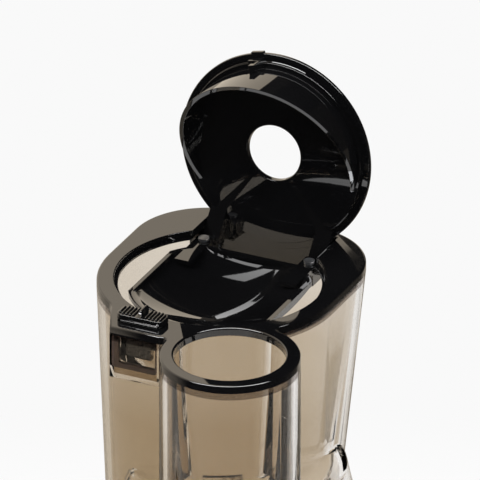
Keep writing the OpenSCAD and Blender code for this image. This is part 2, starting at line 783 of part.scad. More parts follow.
module bowl() {
    spout_in_r = spout_r - spout_wall;
    color([0.55, 0.5, 0.44, 0.5]) difference() {
        union() {
            translate([0, 0, floor_z]) cylinder(r = bowl_r, h = bowl_h, $fn = fine);
            translate([0, 0, deck_z + slip]) cylinder(r = neck_r, h = floor_z - deck_z, $fn = fine);
            translate([0, interlock_y, deck_z + 1.3]) cylinder(r = 3, h = floor_z - deck_z, $fn = small);
            pulp_duct(0);
            spout_axis(bowl_r - 6) cylinder(r = spout_r, h = spout_reach - bowl_r + 6, $fn = medium);
            for (sx = [-1, 1]) translate([sx * 6 - 1.5, -spout_reach, spout_z + spout_r - 2])
                hull() {
                    cube([3, 8, 2]);
                    translate([0, spout_reach + cap_hinge_y, cap_hinge_z - spout_z - spout_r + 2])
                        rotate([0, 90, 0]) cylinder(r = 2.8, h = 3, $fn = small);
                }
            around(lug_count) intersection() {
                translate([0, 0, lug_z]) cylinder(r = bowl_r + lug_out, h = lug_t, $fn = fine);
                translate([0, 0, lug_z]) wedge(lug_angle, 90, lug_t);
            }
        }
        difference() {
            translate([0, 0, floor_top]) cylinder(r = bowl_in_r, h = bowl_h, $fn = fine);
            translate([0, 0, ledge_z - 4]) tube(bowl_r, bowl_in_r - ledge_w, 4);
        }
        difference() {
            translate([0, 0, deck_z - over])
                cylinder(r = neck_r - neck_wall, h = floor_z - deck_z + over, $fn = fine);
            pulp_duct(0);
        }
        pulp_duct(duct_wall);
        intersection() {
            translate([-pulp_slot_out, -pulp_slot_w / 2, duct_z + duct_h - duct_wall - over])
                cube([pulp_slot_out - pulp_slot_in, pulp_slot_w, 20]);
            cylinder(r = pulp_slot_out, h = 400, $fn = fine);
        }
        translate([drain_x, -drain_w / 2, duct_z - over]) cube([drain_l, drain_w, duct_wall + 2 * over]);
        translate([0, 0, deck_z - over]) cylinder(r = floor_bore_r, h = 60, $fn = fine);
        at([idler_gap * cos(idler_turn_place), idler_gap * sin(idler_turn_place)], floor_z + 1)
            cylinder(r = idler_pin_r, h = 10, $fn = small);
        spout_axis(bowl_in_r - 6) cylinder(r = spout_in_r, h = spout_reach - bowl_in_r + 8, $fn = medium);
        translate([-10, cap_hinge_y, cap_hinge_z]) rotate([0, 90, 0])
            cylinder(r = cap_pin_r, h = 20, $fn = small);
    }
    color([0.55, 0.5, 0.44, 0.5]) for (sy = [-1, 1])
        translate([lever_x - 2.6, sy * (duct_w / 2 - 1.5) - 1.5, duct_z - 4.4]) difference() {
            cube([5.2, 3, 4.5]);
            translate([2.6, -over, 2.2]) rotate([-90, 0, 0]) cylinder(r = lever_pin_r, h = 5, $fn = small);
        }
}

module bowl_gasket() {
    color([0.85, 0.85, 0.85]) translate([0, 0, floor_z - 1])
        tube(floor_bore_r, stem_r + run_gap, floor_t + 1.6);
}

module idler_pin() {
    color([0.75, 0.75, 0.77]) at([idler_gap * cos(idler_turn_place), idler_gap * sin(idler_turn_place)],
        floor_z + 1)
        cylinder(r = idler_pin_r, h = gear_z + gear_t - floor_z - 0.5, $fn = small);
}

module idler_gear() {
    color([0.2, 0.2, 0.2]) at([idler_gap * cos(idler_turn_place), idler_gap * sin(idler_turn_place)],
        gear_z)
        rotate(idler_turn) spur(idler_teeth, brush_module, gear_t, idler_pin_r + run_gap);
}

module brush_frame() {
    flange_z = gear_z + gear_t;
    color([0.16, 0.16, 0.17]) {
        translate([0, 0, gear_z]) rotate(ring_turn) linear_extrude(gear_t + 0.5) difference() {
            circle(r = brush_ring_r, $fn = fine);
            polygon(gear_points(ring_teeth, brush_module, 1.25, 0.85, -gear_play));
        }
        translate([0, 0, flange_z]) tube(post_r, ring_pitch_r + 1, 2.6);
        translate([0, 0, blade_top - 4]) tube(post_r, post_r - post_t, 4);
        around(blade_count) for (side = [-1, 1])
            translate([post_r - post_t, side > 0 ? blade_t / 2 : -blade_t / 2 - 3, flange_z + over])
                cube([post_t - 0.4, 3, blade_top - flange_z - 2 * over]);
    }
}

module brush_blades() {
    color([0.85, 0.3, 0.2]) around(blade_count)
        translate([strainer_r + strainer_flare + mesh_t + rib_t + 0.5, -blade_t / 2, gear_z + gear_t + 2.6])
            cube([bowl_in_r - 0.9 - strainer_r - strainer_flare - mesh_t - rib_t, blade_t,
                blade_top - 4 - gear_z - gear_t - 2.6]);
}

// A cone shell of the strainer between two heights
module strainer_cone(offset_r, wall, z0, z1) {
    r0 = strainer_r + offset_r;
    rise = (z0 - strainer_z) / (strainer_top - strainer_z);
    reach = (z1 - strainer_z) / (strainer_top - strainer_z);
    translate([0, 0, z0]) difference() {
        cylinder(r1 = r0 + wall + strainer_flare * rise, r2 = r0 + wall + strainer_flare * reach,
            h = z1 - z0, $fn = fine);
        translate([0, 0, -0.01]) cylinder(r1 = r0 + strainer_flare * rise, r2 = r0 + strainer_flare * reach,
            h = z1 - z0 + 0.02, $fn = fine);
    }
}

module strainer_frame() {
    low = strainer_z + 6;
    high = ledge_z - 6;
    mid = (low + high) / 2;
    color([0.18, 0.18, 0.19]) {
        difference() {
            union() {
                strainer_cone(mesh_t, rib_t - 0.6, strainer_z, strainer_top);
                translate([0, 0, ledge_z])
                    tube(bowl_in_r - slip, strainer_r + strainer_flare + mesh_t + 0.2, flange_t);
            }
            around(window_count) for (z = [low, mid + 2])
                translate([strainer_r - 6, -5.2, z]) cube([20, 10.4, mid - low - 2]);
        }
    }
}

module strainer_mesh() {
    color([0.75, 0.75, 0.76]) strainer_cone(0, mesh_t - 0.02, strainer_z, strainer_top - 0.5);
}

module screw() {
    flight_h = screw_top - strainer_z - 6;
    color([0.13, 0.12, 0.11]) difference() {
        union() {
            translate([0, 0, floor_z + 0.6]) cylinder(r = stem_r, h = gear_z - floor_z, $fn = medium);
            translate([0, 0, gear_z]) linear_extrude(gear_t)
                polygon(gear_points(screw_gear_teeth, brush_module, 1, 1.25, gear_play));
            translate([0, 0, gear_z + gear_t - 0.5])
                cylinder(r = screw_neck_r, h = strainer_z - gear_z - gear_t + 1, $fn = medium);
            translate([0, 0, strainer_z]) rotate_extrude($fn = medium) polygon([[0, 0], [screw_r - 6, 0],
                [screw_r - 8, 8], [screw_r - 13, 20], [core_top_r + 8, 36], [core_top_r + 3, 52],
                [core_top_r, flight_h], [core_top_r - 5, flight_h + 5], [0, flight_h + 6]]);
            intersection() {
                translate([0, 0, strainer_z])
                    cylinder(r1 = screw_r, r2 = screw_r - 4, h = flight_h, $fn = medium);
                translate([0, 0, strainer_z])
                    linear_extrude(flight_h, twist = 360 * screw_turns, slices = 36)
                    for (a = [0, 180]) rotate(a) translate([0, -flight_t / 2])
                        square([screw_r + 4, flight_t]);
            }
        }
        translate([0, 0, floor_z]) cylinder(r = socket_r, h = socket_top - floor_z, $fn = medium);
    }
}

module screw_socket() {
    color([0.75, 0.75, 0.77]) translate([0, 0, floor_z + 0.6]) difference() {
        cylinder(r = socket_r, h = socket_top - floor_z - 0.6, $fn = medium);
        translate([0, 0, -over]) cylinder(r = hex_r + 0.35, h = shaft_top - floor_z + over + 0.4, $fn = 6);
    }
}

module juice_cap() {
    color([0.13, 0.13, 0.13]) {
        difference() {
            union() {
                spout_axis(spout_reach + 1 + slip) cylinder(r = spout_r + 1.5, h = cap_t, $fn = medium);
                hull() {
                    translate([-4.2, cap_hinge_y, cap_hinge_z]) rotate([0, 90, 0])
                        cylinder(r = 2.8, h = 8.4, $fn = small);
                    translate([-4.2, -spout_reach - 1 - slip - cap_t, spout_z + spout_r - 4])
                        cube([8.4, cap_t, 3]);
                }
            }
            translate([-10, cap_hinge_y, cap_hinge_z]) rotate([0, 90, 0])
                cylinder(r = cap_pin_r + run_gap, h = 20, $fn = small);
            spout_axis(spout_reach - 4) cylinder(r = spout_r + 0.4, h = 5 + slip, $fn = medium);
        }
        translate([-5, -spout_reach - cap_t - 5, spout_z - spout_r - 1.2]) cube([10, 5, 3]);
    }
}

module juice_cap_seal() {
    color([0.85, 0.85, 0.85]) spout_axis(spout_reach + slip)
        cylinder(r = spout_r - 0.5, h = 1, $fn = medium);
}

module juice_cap_pin() {
    color([0.75, 0.75, 0.77]) translate([-7.6, cap_hinge_y, cap_hinge_z]) rotate([0, 90, 0])
        cylinder(r = cap_pin_r, h = 15.2, $fn = small);
}

module pulp_lever() {
    color([0.13, 0.13, 0.13]) difference() {
        union() {
            translate([lever_x - lever_l, -duct_w / 2 + 3.6, lever_z - lever_t / 2])
                cube([lever_l, duct_w - 7.2, lever_t]);
            translate([lever_x, -duct_w / 2 + 3.6, lever_z]) rotate([-90, 0, 0])
                cylinder(r = 2.1, h = duct_w - 7.2, $fn = small);
        }
        translate([lever_x, -duct_w / 2, lever_z]) rotate([-90, 0, 0])
            cylinder(r = lever_pin_r + run_gap, h = duct_w, $fn = small);
    }
}

module pulp_plug() {
    color([0.85, 0.85, 0.85]) translate([drain_x + 0.5, -drain_w / 2 + 0.5, lever_z + lever_t / 2])
        cube([drain_l - 1, drain_w - 1, duct_z + duct_wall - lever_z - lever_t / 2 - 0.6]);
}

module pulp_lever_pin() {
    color([0.75, 0.75, 0.77]) translate([lever_x, -duct_w / 2 + 0.2, lever_z]) rotate([-90, 0, 0])
        cylinder(r = lever_pin_r, h = duct_w - 0.4, $fn = small);
}

// ---------- hopper ----------

module tower_ring(inset, z, h) {
    at(mouth, z) {
        cylinder(r = tower_r - inset, h = h, $fn = fine);
        for (sx = [-1, 1]) translate([sx * (tower_r - corner_r), tower_back - corner_r, 0])
            cylinder(r = corner_r - inset, h = h, $fn = fine);
    }
}

module tower_form(inset, bottom, top) {
    hull() {
        tower_ring(inset, top - 0.5, 0.5);
        at(mouth, waist_z) for (sx = [-1, 1]) translate([sx * waist_x, tower_back - waist_r, 0])
            cylinder(r = waist_r - inset, h = 0.5, $fn = fine);
        at(mouth, bottom) cylinder(r = tower_foot_r - inset, h = 0.5, $fn = fine);
    }
}

// Radius of the shoulder, from its crown (t = 0) down to its foot (t = 1)
function shoulder_radius(t) =
    crown_r + (shoulder_foot_r - crown_r) * (shoulder_lean * t + (1 - shoulder_lean) * t ^ 3);

module shoulder(inset) {
    crown = [for (a = [90 : -15 : 0])
        [crown_r - inset - crown_soft * (1 - cos(a)), shoulder_start - inset + crown_round * sin(a)]];
    fall = shoulder_start - inset - shoulder_foot_z;
    flare = [for (i = [1 : shoulder_steps]) let (t = i / shoulder_steps)
        [shoulder_radius(t) - inset, shoulder_start - inset - t * fall]];
    rotate_extrude($fn = fine)
        polygon(concat([[0, shoulder_foot_z], [0, shoulder_start - inset + crown_round]],
        crown, flare));
}

module block_plan(inset) {
    half = block_w / 2 - inset;
    back = 34;
    reach = block_reach - inset;
    flare = block_flare * (block_reach - back);
    at(mouth) polygon([[block_x - half, -reach], [block_x + half, -reach], [block_x + half, -back],
        [block_x - half - flare, -back]]);
}

module pocket_hollow() {
    translate([0, 0, plate_z - pocket_h + pocket_wall]) linear_extrude(pocket_h) difference() {
        block_plan(pocket_wall);
        at(mouth) circle(r = tower_r - 0.5, $fn = fine);
    }
}

module finger_window() {
    at(mouth, top_z - finger_drop - 0.5) translate([hook_x - 1, -tower_r - 3, 0])
        cube([8, 13, finger_t + 1.1]);
}

// Way in from below and groove for each lug of the bowl
module collar_slots() {
    slot_r = bowl_r + lug_out + 0.4;
    way_h = lug_z + lug_t + slip - collar_z + over;
    around(lug_count) {
        intersection() {
            translate([0, 0, lug_z - slip]) tube(slot_r, bowl_r - 1, lug_t + 2 * slip);
            rotate(lug_turn / 2) translate([0, 0, lug_z - slip - over])
                wedge(lug_angle + lug_turn + 2, 90, lug_t + 2 * slip + 2 * over);
        }
        intersection() {
            translate([0, 0, collar_z - over]) tube(slot_r, bowl_r - 1, way_h);
            rotate(lug_turn) translate([0, 0, collar_z - 2 * over])
                wedge(lug_angle + 2, 90, way_h + 2 * over);
        }
    }
}

module hopper() {
    color([0.62, 0.56, 0.48, 0.5]) difference() {
        union() {
            difference() {
                union() {
                    tower_form(0, shoulder_foot_z - over, plate_z);
                    shoulder(0);
                    translate([0, 0, collar_z])
                        cylinder(r = collar_r, h = shoulder_foot_z - collar_z + 0.5, $fn = fine);
                    translate([0, 0, plate_z - pocket_h]) linear_extrude(pocket_h) block_plan(0);
                }
                shoulder(hopper_wall);
                tower_form(hopper_wall, shoulder_foot_z - over, plate_z + over);
                pocket_hollow();
            }
            at(chute, shoulder_foot_z) cylinder(r = chute_r, h = plate_z - shoulder_foot_z, $fn = fine);
        }
        at(chute, shoulder_foot_z - over) cylinder(r = chute_in_r, h = top_z, $fn = fine);
        difference() {
            translate([0, 0, collar_z - over])
                cylinder(r = collar_in_r, h = web_z - collar_z + over, $fn = fine);
            translate([0, 0, strainer_top + slip]) cylinder(r = plug_r, h = 40, $fn = fine);
        }
        translate([0, 0, collar_z - over])
            cylinder(r = plug_r - plug_wall, h = shoulder_foot_z - collar_z + over + 0.01, $fn = fine);
        collar_slots();
        finger_window();
    }
}

module hopper_seal() {
    color([0.85, 0.85, 0.85]) translate([0, 0, rim_z]) tube(bowl_r - 0.4, bowl_in_r + 0.3, seal_t);
}

// ---------- top plate ----------

module plate_plan() {
    offset(r = -notch_round, $fn = medium) offset(r = notch_round, $fn = medium) {
        offset(r = -neck_round, $fn = fine) offset(r = neck_round, $fn = fine) {
            hull() {
                at(mouth) circle(r = tower_r, $fn = fine);
                at(mouth) for (sx = [-1, 1]) translate([sx * (tower_r - corner_r), tower_back - corner_r])
                    circle(r = corner_r, $fn = fine);
            }
            block_plan(0);
        }
        at(chute) circle(r = chute_r, $fn = fine);
    }
}

module plate_lip() {
    inset = hopper_wall + lip_gap;
    translate([0, 0, top_z - lip_drop]) difference() {
        hull() tower_ring(inset + 0.4, 0, lip_h);
        hull() tower_ring(inset + 0.4 + lip_t, -over, lip_h + 2 * over);
        at(chute, -over) cylinder(r = chute_r + lip_gap, h = 20, $fn = fine);
        at(mouth, -over) translate([-notch_half_w, 20, 0]) cube([2 * notch_half_w, 60, 20]);
    }
    at(chute, top_z - lip_drop) tube(chute_in_r - lip_gap, chute_hole_r, lip_h);
}

module hinge_ears() {
    for (sx = [-1, 1]) at(mouth)
        translate([sx > 0 ? notch_half_w + 0.2 : -notch_half_w - 0.2 - ear_t, hinge_y, hinge_z])
        difference() {
            union() {
                rotate([0, 90, 0]) cylinder(r = 4, h = ear_t, $fn = medium);
                translate([0, -4, 0]) cube([ear_t, 8, hinge_drop - plate_t]);
            }
            translate([-over, 0, 0]) rotate([0, 90, 0])
                cylinder(r = hinge_pin_r, h = ear_t + 2 * over, $fn = medium);
        }
}

module top_plate() {
    steps = 3;
    color([0.04, 0.04, 0.045]) {
        difference() {
            union() {
                translate([0, 0, plate_z]) linear_extrude(plate_t - plate_round) plate_plan();
                for (i = [1 : steps]) let (a = 90 * i / steps)
                    translate([0, 0, plate_z])
                        linear_extrude(plate_t - plate_round + plate_round * sin(a))
                            offset(delta = -plate_round * (1 - cos(a))) plate_plan();
            }
            at(mouth, top_z - recess_t) cylinder(r = mouth_r, h = 10, $fn = fine);
            at(mouth, plate_z - over) cylinder(r = throat_r, h = 10, $fn = fine);
            at(mouth, plate_z - over) translate([-notch_half_w, 20, 0])
                cube([2 * notch_half_w, notch_back - 20, 10]);
            at(mouth, top_z - recess_t) rotate(-hook_turn) translate([-hook_w / 2 - 0.4, -mouth_r - 1.6, 0])
                cube([hook_w + 0.8, 10, 10]);
            at(chute, plate_z - over) cylinder(r = chute_hole_r, h = 10, $fn = fine);
            at(chute, top_z - 0.8)
                cylinder(r1 = chute_hole_r, r2 = chute_hole_r + 0.8, h = 0.81, $fn = fine);
            at(mouth, plate_z - over)
                translate([slider_x - tongue_l / 2 - slider_travel - slip, stem_y - slip, 0])
                cube([tongue_l + slider_travel + 2 * slip, stem_w + 2 * slip, 10]);
            finger_window();
        }
        difference() {
            plate_lip();
            finger_window();
        }
        hinge_ears();
    }
}

module hinge_pins() {
    color([0.75, 0.75, 0.77]) for (sx = [-1, 1])
        at(mouth, hinge_z) translate([sx > 0 ? notch_half_w - 6.6 : -notch_half_w - 4, hinge_y, 0])
            rotate([0, 90, 0]) cylinder(r = hinge_pin_r, h = 10.6, $fn = medium);
}

// ---------- lid and gate ----------

// Places a piece that is drawn for the closed lid, from the mouth's centre at the top face
module lid_place() {
    at(mouth, hinge_z) translate([0, hinge_y, 0]) rotate([-lid_open, 0, 0])
        translate([0, -hinge_y, hinge_drop])
        children();
}

module knuckle_places() {
    for (sx = [-1, 1]) translate([sx > 0 ? notch_half_w - 0.4 - knuckle_w : -notch_half_w + 0.4, 0, 0])
        children();
}

module skirt() {
    difference() {
        intersection() {
            translate([0, 0, -40]) cylinder(r = skirt_r, h = 40 - skirt_foot + over, $fn = fine);
            rotate(-skirt_turn) translate([0, 0, -skirt_mid]) rotate([atan(skirt_slant / skirt_r), 0, 0])
                translate([-100, -100, 0]) cube(200);
        }
        translate([0, 0, -50]) cylinder(r = skirt_r - skirt_wall, h = 50 - skirt_foot, $fn = fine);
    }
}

module feed_lid() {
    color([0.03, 0.03, 0.03]) {
        lid_place() difference() {
            union() {
                translate([0, 0, -lid_gap - lid_t]) cylinder(r = lid_r, h = lid_t, $fn = fine);
                translate([0, 0, -skirt_foot]) cylinder(r = skirt_r + 1.4, h = disc_t, $fn = fine);
                skirt();
                translate([-tail_half_w, 30, -lid_gap - lid_t])
                    cube([2 * tail_half_w, tail_reach - 30, lid_t]);
                knuckle_places() hull() {
                    translate([0, hinge_y, -hinge_drop]) rotate([0, 90, 0])
                        cylinder(r = knuckle_r, h = knuckle_w, $fn = medium);
                    translate([0, 26, -lid_gap - lid_t - 0.6]) cube([knuckle_w, 5, 0.6]);
                }
                rotate(-hook_turn) {
                    translate([-hook_w / 2, -hook_out_r, -hook_drop])
                        cube([hook_w, hook_out_r - skirt_r + 1, hook_drop - lid_gap - 1]);
                    translate([-hook_w / 2, -mouth_r - 1.2, -lid_gap - lid_t]) cube([hook_w, 4, lid_t]);
                }
            }
            translate([0, 0, -40]) cylinder(r = lid_hole_r, h = 60, $fn = fine);
            translate([0, 0, -disc_drop]) cylinder(r = skirt_r - 1.4, h = 10, $fn = fine);
            translate([-40, hinge_y, -hinge_drop]) rotate([0, 90, 0])
                cylinder(r = hinge_pin_r + run_gap, h = 80, $fn = medium);
            rotate(-hook_turn) translate([0, -hook_out_r - over, -finger_drop - 0.4])
                cube([hook_w, hook_out_r - skirt_r + over - 0.4, finger_t + 0.8]);
        }
        at(mouth, hinge_z) knuckle_places() difference() {
            translate([0, hinge_y - 12, -knuckle_r])
                cube([knuckle_w, 12 - hinge_pin_r - 0.5, gate_seat + knuckle_r]);
            translate([knuckle_w / 2, gate_screw_y, -knuckle_r - over])
                cylinder(r = gate_screw_r, h = 20, $fn = small);
        }
    }
}

module gate_form(inset, z, h) {
    translate([0, 0, z]) intersection() {
        cylinder(r = gate_r - inset, h = h, $fn = fine);
        translate([inset - gate_half_w, -50, 0])
            cube([2 * (gate_half_w - inset), 50 + gate_back - inset, h]);
    }
}

// The gate lies level while the lid stands open
module flip_gate() {
    ball_r = (gate_r ^ 2 + gate_depth ^ 2) / (2 * gate_depth);
    arm_z = -gate_arm_t;
    color([0.05, 0.05, 0.05]) at(mouth, top_z - gate_drop) difference() {
        union() {
            difference() {
                intersection() {
                    translate([0, 0, ball_r - gate_depth - gate_wall]) sphere(r = ball_r, $fn = fine);
                    gate_form(0, -20, 20);
                }
                translate([0, 0, ball_r - gate_depth]) sphere(r = ball_r, $fn = fine);
            }
            difference() {
                gate_form(0, -gate_wall - 0.4, gate_wall + 0.4);
                gate_form(2, -gate_wall - 1, gate_wall + 2);
            }
            knuckle_places() difference() {
                translate([0, 14, arm_z]) cube([knuckle_w, hinge_y - knuckle_r - 14, gate_arm_t]);
                translate([-over, 14 - over, arm_z - over]) cube([knuckle_w + 2 * over, 15, 1]);
            }
        }
        knuckle_places() translate([knuckle_w / 2, gate_screw_y, -10])
            cylinder(r = gate_screw_r, h = 20, $fn = small);
    }
}

module gate_screws() {
    color([0.6, 0.6, 0.62]) at(mouth, top_z - gate_drop) knuckle_places()
        translate([knuckle_w / 2, gate_screw_y, 0]) {
        cylinder(r = 2.2, h = 1.2, $fn = small);
        translate([0, 0, -gate_arm_t - 4]) cylinder(r = gate_screw_r, h = gate_arm_t + 4, $fn = small);
    }
}

// ---------- latch ----------

module latch_slider() {
    color([0.05, 0.05, 0.05]) at(mouth, top_z) {
        translate([slider_x, -slider_reach, 0]) {
            translate([-slider_l / 2, -slider_w / 2, slip])
                cube([slider_l, slider_w, slider_top - 0.7 - slip]);
            for (side = [-1, 1]) for (i = [0 : rib_count - 1])
                translate([side * (2.6 + i * 1.5) - 0.4, 0.5 - slider_w / 2, slider_top - 0.8])
                    cube([0.8, slider_w - 1, 0.8]);
            hull() {
                translate([-1, -slider_w / 2, slider_top - 1]) cube([2, slider_w, 0.3]);
                translate([-0.7, 0, slider_top + 1.4]) cube([1.4, slider_w / 2, 0.3]);
            }
        }
        translate([slider_x - tongue_l / 2, stem_y, -plate_t - 1]) cube([tongue_l, stem_w, plate_t + 2]);
        translate([slider_x - tongue_l / 2, tongue_y, -tongue_drop])
            cube([tongue_l, tongue_w, tongue_drop - plate_t - slip]);
        translate([finger_x - 3, tongue_y, -finger_drop]) cube([3 + finger_w, tongue_w, finger_t]);
        translate([finger_x, tongue_y, -finger_drop])
            cube([finger_w, -hook_out_r + 1.5 - tongue_y, finger_t]);
    }
}

// ---------- pieces ----------

base_housing();
bottom_cover();
feet();
bottom_screws();
deck_ring();
motor_can();
motor_screws();
motor_rotor();
motor_pinion();
motor_fan();
middle_gear();
middle_gear_pin();
output_gear();
output_shaft();
lower_bearing();
upper_bearing();
shaft_seal();
gearbox_case();
gearbox_lid();
gearbox_screws();
control_board();
speed_switch();
control_knob();
interlock_switch();
cord_inlet();
bowl();
bowl_gasket();
idler_pin();
idler_gear();
brush_frame();
brush_blades();
strainer_frame();
strainer_mesh();
screw();
screw_socket();
juice_cap();
juice_cap_seal();
juice_cap_pin();
pulp_lever();
pulp_plug();
pulp_lever_pin();
hopper();
hopper_seal();
top_plate();
hinge_pins();
feed_lid();
flip_gate();
gate_screws();
latch_slider();
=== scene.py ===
# Cold press juicer with a tall smoky hopper, a flip lid and a latch slider
import json
import math
import bmesh
import bpy
from mathutils import Matrix, Vector

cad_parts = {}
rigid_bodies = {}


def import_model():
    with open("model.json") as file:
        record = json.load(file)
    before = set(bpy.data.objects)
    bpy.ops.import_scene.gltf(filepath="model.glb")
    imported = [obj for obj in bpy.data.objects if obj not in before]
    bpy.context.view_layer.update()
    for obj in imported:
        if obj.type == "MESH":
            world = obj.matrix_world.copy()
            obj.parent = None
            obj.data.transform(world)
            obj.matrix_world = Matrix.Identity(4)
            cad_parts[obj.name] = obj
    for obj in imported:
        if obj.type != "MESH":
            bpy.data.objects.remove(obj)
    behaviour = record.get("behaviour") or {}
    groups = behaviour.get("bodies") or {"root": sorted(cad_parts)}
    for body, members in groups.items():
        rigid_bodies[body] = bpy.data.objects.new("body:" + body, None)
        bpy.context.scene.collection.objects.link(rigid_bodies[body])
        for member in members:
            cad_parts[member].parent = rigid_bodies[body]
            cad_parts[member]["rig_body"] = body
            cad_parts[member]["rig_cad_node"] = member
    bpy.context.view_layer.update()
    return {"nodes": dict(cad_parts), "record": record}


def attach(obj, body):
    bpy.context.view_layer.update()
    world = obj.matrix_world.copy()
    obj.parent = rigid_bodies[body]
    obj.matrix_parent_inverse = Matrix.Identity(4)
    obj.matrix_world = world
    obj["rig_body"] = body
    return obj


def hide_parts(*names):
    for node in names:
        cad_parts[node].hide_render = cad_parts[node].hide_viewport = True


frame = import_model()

mm = 0.001
cadNodes = frame["nodes"]
bodies = frame["record"]["behaviour"]["bodies"]
bodyOf = {member: body for body, members in bodies.items() for member in members}

# driving places, in millimetres: the axes of the round mouth and of the small chute, and the plate's top face
mouthX, mouthY = -15.8, 17.6
chuteX, chuteY = 16.0, -40.0
topZ = 440.0
print("scene: loaded", len(cadNodes), "nodes")

# how finely round shapes are divided
divisions = {"large": 192, "usual": 160, "medium": 96, "small": 48, "pin": 32}
# how far a cutting tool reaches past what it cuts, in millimetres
past = 1
# what counts as one point in millimetres, and as one curved or flat face in degrees
mesher = {"copyMerge": 0.004, "sliceMerge": 0.4, "spinMerge": 0.002, "flatAngle": 0.6, "smoothAngle": 35,
          "edgeAngle": 40, "copyEdgeAngle": 50}


def deselectAll():
    for thing in bpy.context.selected_objects:
        thing.select_set(False)


def makeActive(piece):
    deselectAll()
    piece.select_set(True)
    bpy.context.view_layer.objects.active = piece


def startEdit(piece):
    # edit mode with the whole mesh selected
    makeActive(piece)
    bpy.ops.object.mode_set(mode="EDIT")
    bpy.ops.mesh.select_all(action="SELECT")


def endEdit():
    bpy.ops.object.mode_set(mode="OBJECT")


def applyLast(piece):
    makeActive(piece)
    bpy.ops.object.modifier_apply(modifier=piece.modifiers[-1].name)


def setPlace(piece):
    # the place goes into the mesh, the object stays at the origin
    makeActive(piece)
    bpy.ops.object.transform_apply(location=True, rotation=True, scale=True)


def shift(piece, x, y, z):
    piece.location = piece.location + Vector((x, y, z)) * mm
    setPlace(piece)


def turnAbout(piece, axis, degrees, point=(0, 0, 0)):
    # turns a piece about an axis through a point, given in millimetres
    centre = Vector(point) * mm
    turn = Matrix.Rotation(math.radians(degrees), 4, axis)
    piece.matrix_world = Matrix.Translation(centre) @ turn @ Matrix.Translation(-centre) @ piece.matrix_world
    setPlace(piece)


def block(name, low, high):
    # box between two corners, in millimetres
    size = [(b - a) * mm for a, b in zip(low, high)]
    middle = [(a + b) / 2 * mm for a, b in zip(low, high)]
    deselectAll()
    bpy.ops.mesh.primitive_cube_add(size=1, location=middle)
    piece = bpy.context.active_object
    piece.scale = size
    piece.name = name
    setPlace(piece)
    return piece


def disc(name, radius, low, high, centre=(0, 0), sides=divisions["usual"]):
    # upright cylinder between two heights, in millimetres
    deselectAll()
    middle = (centre[0] * mm, centre[1] * mm, (low + high) / 2 * mm)
    bpy.ops.mesh.primitive_cylinder_add(vertices=sides, radius=radius * mm, depth=(high - low) * mm,
                                        location=middle)
    piece = bpy.context.active_object
    piece.name = name
    setPlace(piece)
    return piece


def crossRod(name, radius, left, right, y, z, sides):
    # cylinder that lies from side to side, in millimetres
    piece = disc(name, radius, left, right, sides=sides)
    turnAbout(piece, "Y", 90)
    shift(piece, 0, y, z)
    return piece


def arc(centre, radius, start, end, steps):
    # points of an arc in an outline, angles in degrees
    angles = [math.radians(start + (end - start) * i / steps) for i in range(steps + 1)]
    return [(centre[0] + radius * math.cos(a), centre[1] + radius * math.sin(a)) for a in angles]


def turned(name, outline, sides):
    # an outline of (radius, height) points in millimetres, spun about the upright axis
    deselectAll()
    bpy.ops.mesh.primitive_plane_add(size=mm, location=(0, 0, 0))
    piece = bpy.context.active_object
    piece.name = name
    bpy.ops.object.mode_set(mode="EDIT")
    bpy.context.tool_settings.mesh_select_mode = (True, False, False)
    bpy.ops.mesh.select_all(action="SELECT")
    bpy.ops.mesh.merge(type="CENTER")
    bpy.ops.transform.translate(value=(outline[0][0] * mm, 0, outline[0][1] * mm))
    for start, end in zip(outline, outline[1:]):
        step = ((end[0] - start[0]) * mm, 0, (end[1] - start[1]) * mm)
        bpy.ops.mesh.extrude_vertices_move(TRANSFORM_OT_translate={"value": step})
    bpy.ops.mesh.select_all(action="SELECT")
    bpy.ops.mesh.spin(steps=sides, angle=2 * math.pi, center=(0, 0, 0), axis=(0, 0, 1))
    bpy.ops.mesh.select_all(action="SELECT")
    bpy.ops.mesh.remove_doubles(threshold=mesher["spinMerge"] * mm)
    bpy.ops.mesh.normals_make_consistent(inside=False)
    endEdit()
    return piece


def copyNode(name):
    # a merged copy of a CAD node
    source = cadNodes[name]
    makeActive(source)
    bpy.ops.object.duplicate()
    piece = bpy.context.active_object
    piece.parent = None
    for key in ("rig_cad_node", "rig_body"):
        if key in piece:
            del piece[key]
    piece.name = name + "Soft"
    startEdit(piece)
    bpy.ops.mesh.remove_doubles(threshold=mesher["copyMerge"] * mm)
    bpy.ops.mesh.dissolve_limited(angle_limit=math.radians(mesher["flatAngle"]))
    endEdit()
    return piece


def sliceOf(name, level, low, high):
    # the outline of a CAD node at one height, drawn out between two heights
    piece = copyNode(name)
    startEdit(piece)
    bpy.ops.mesh.bisect(plane_co=(0, 0, level * mm), plane_no=(0, 0, 1), use_fill=True,
                        clear_inner=True, clear_outer=True)
    bpy.ops.mesh.select_all(action="SELECT")
    bpy.ops.mesh.remove_doubles(threshold=mesher["sliceMerge"] * mm)
    bpy.ops.transform.translate(value=(0, 0, (low - level) * mm))
    bpy.ops.mesh.extrude_region_move(TRANSFORM_OT_translate={"value": (0, 0, (high - low) * mm)})
    bpy.ops.mesh.select_all(action="SELECT")
    bpy.ops.mesh.normals_make_consistent(inside=False)
    endEdit()
    return piece


def sliceAway(piece, point, normal):
    # cuts by a plane and keeps the side that the normal points away from
    startEdit(piece)
    bpy.ops.mesh.bisect(plane_co=[v * mm for v in point], plane_no=normal, use_fill=True, clear_outer=True)
    endEdit()


def cut(piece, tool, operation="DIFFERENCE"):
    change = piece.modifiers.new("cut", "BOOLEAN")
    change.object = tool
    change.operation = operation
    change.solver = "MANIFOLD"
    applyLast(piece)
    bpy.data.objects.remove(tool, do_unlink=True)


def join(name, *parts):
    deselectAll()
    for part in parts:
        part.select_set(True)
    bpy.context.view_layer.objects.active = parts[0]
    bpy.ops.object.join()
    parts[0].name = name
    return parts[0]


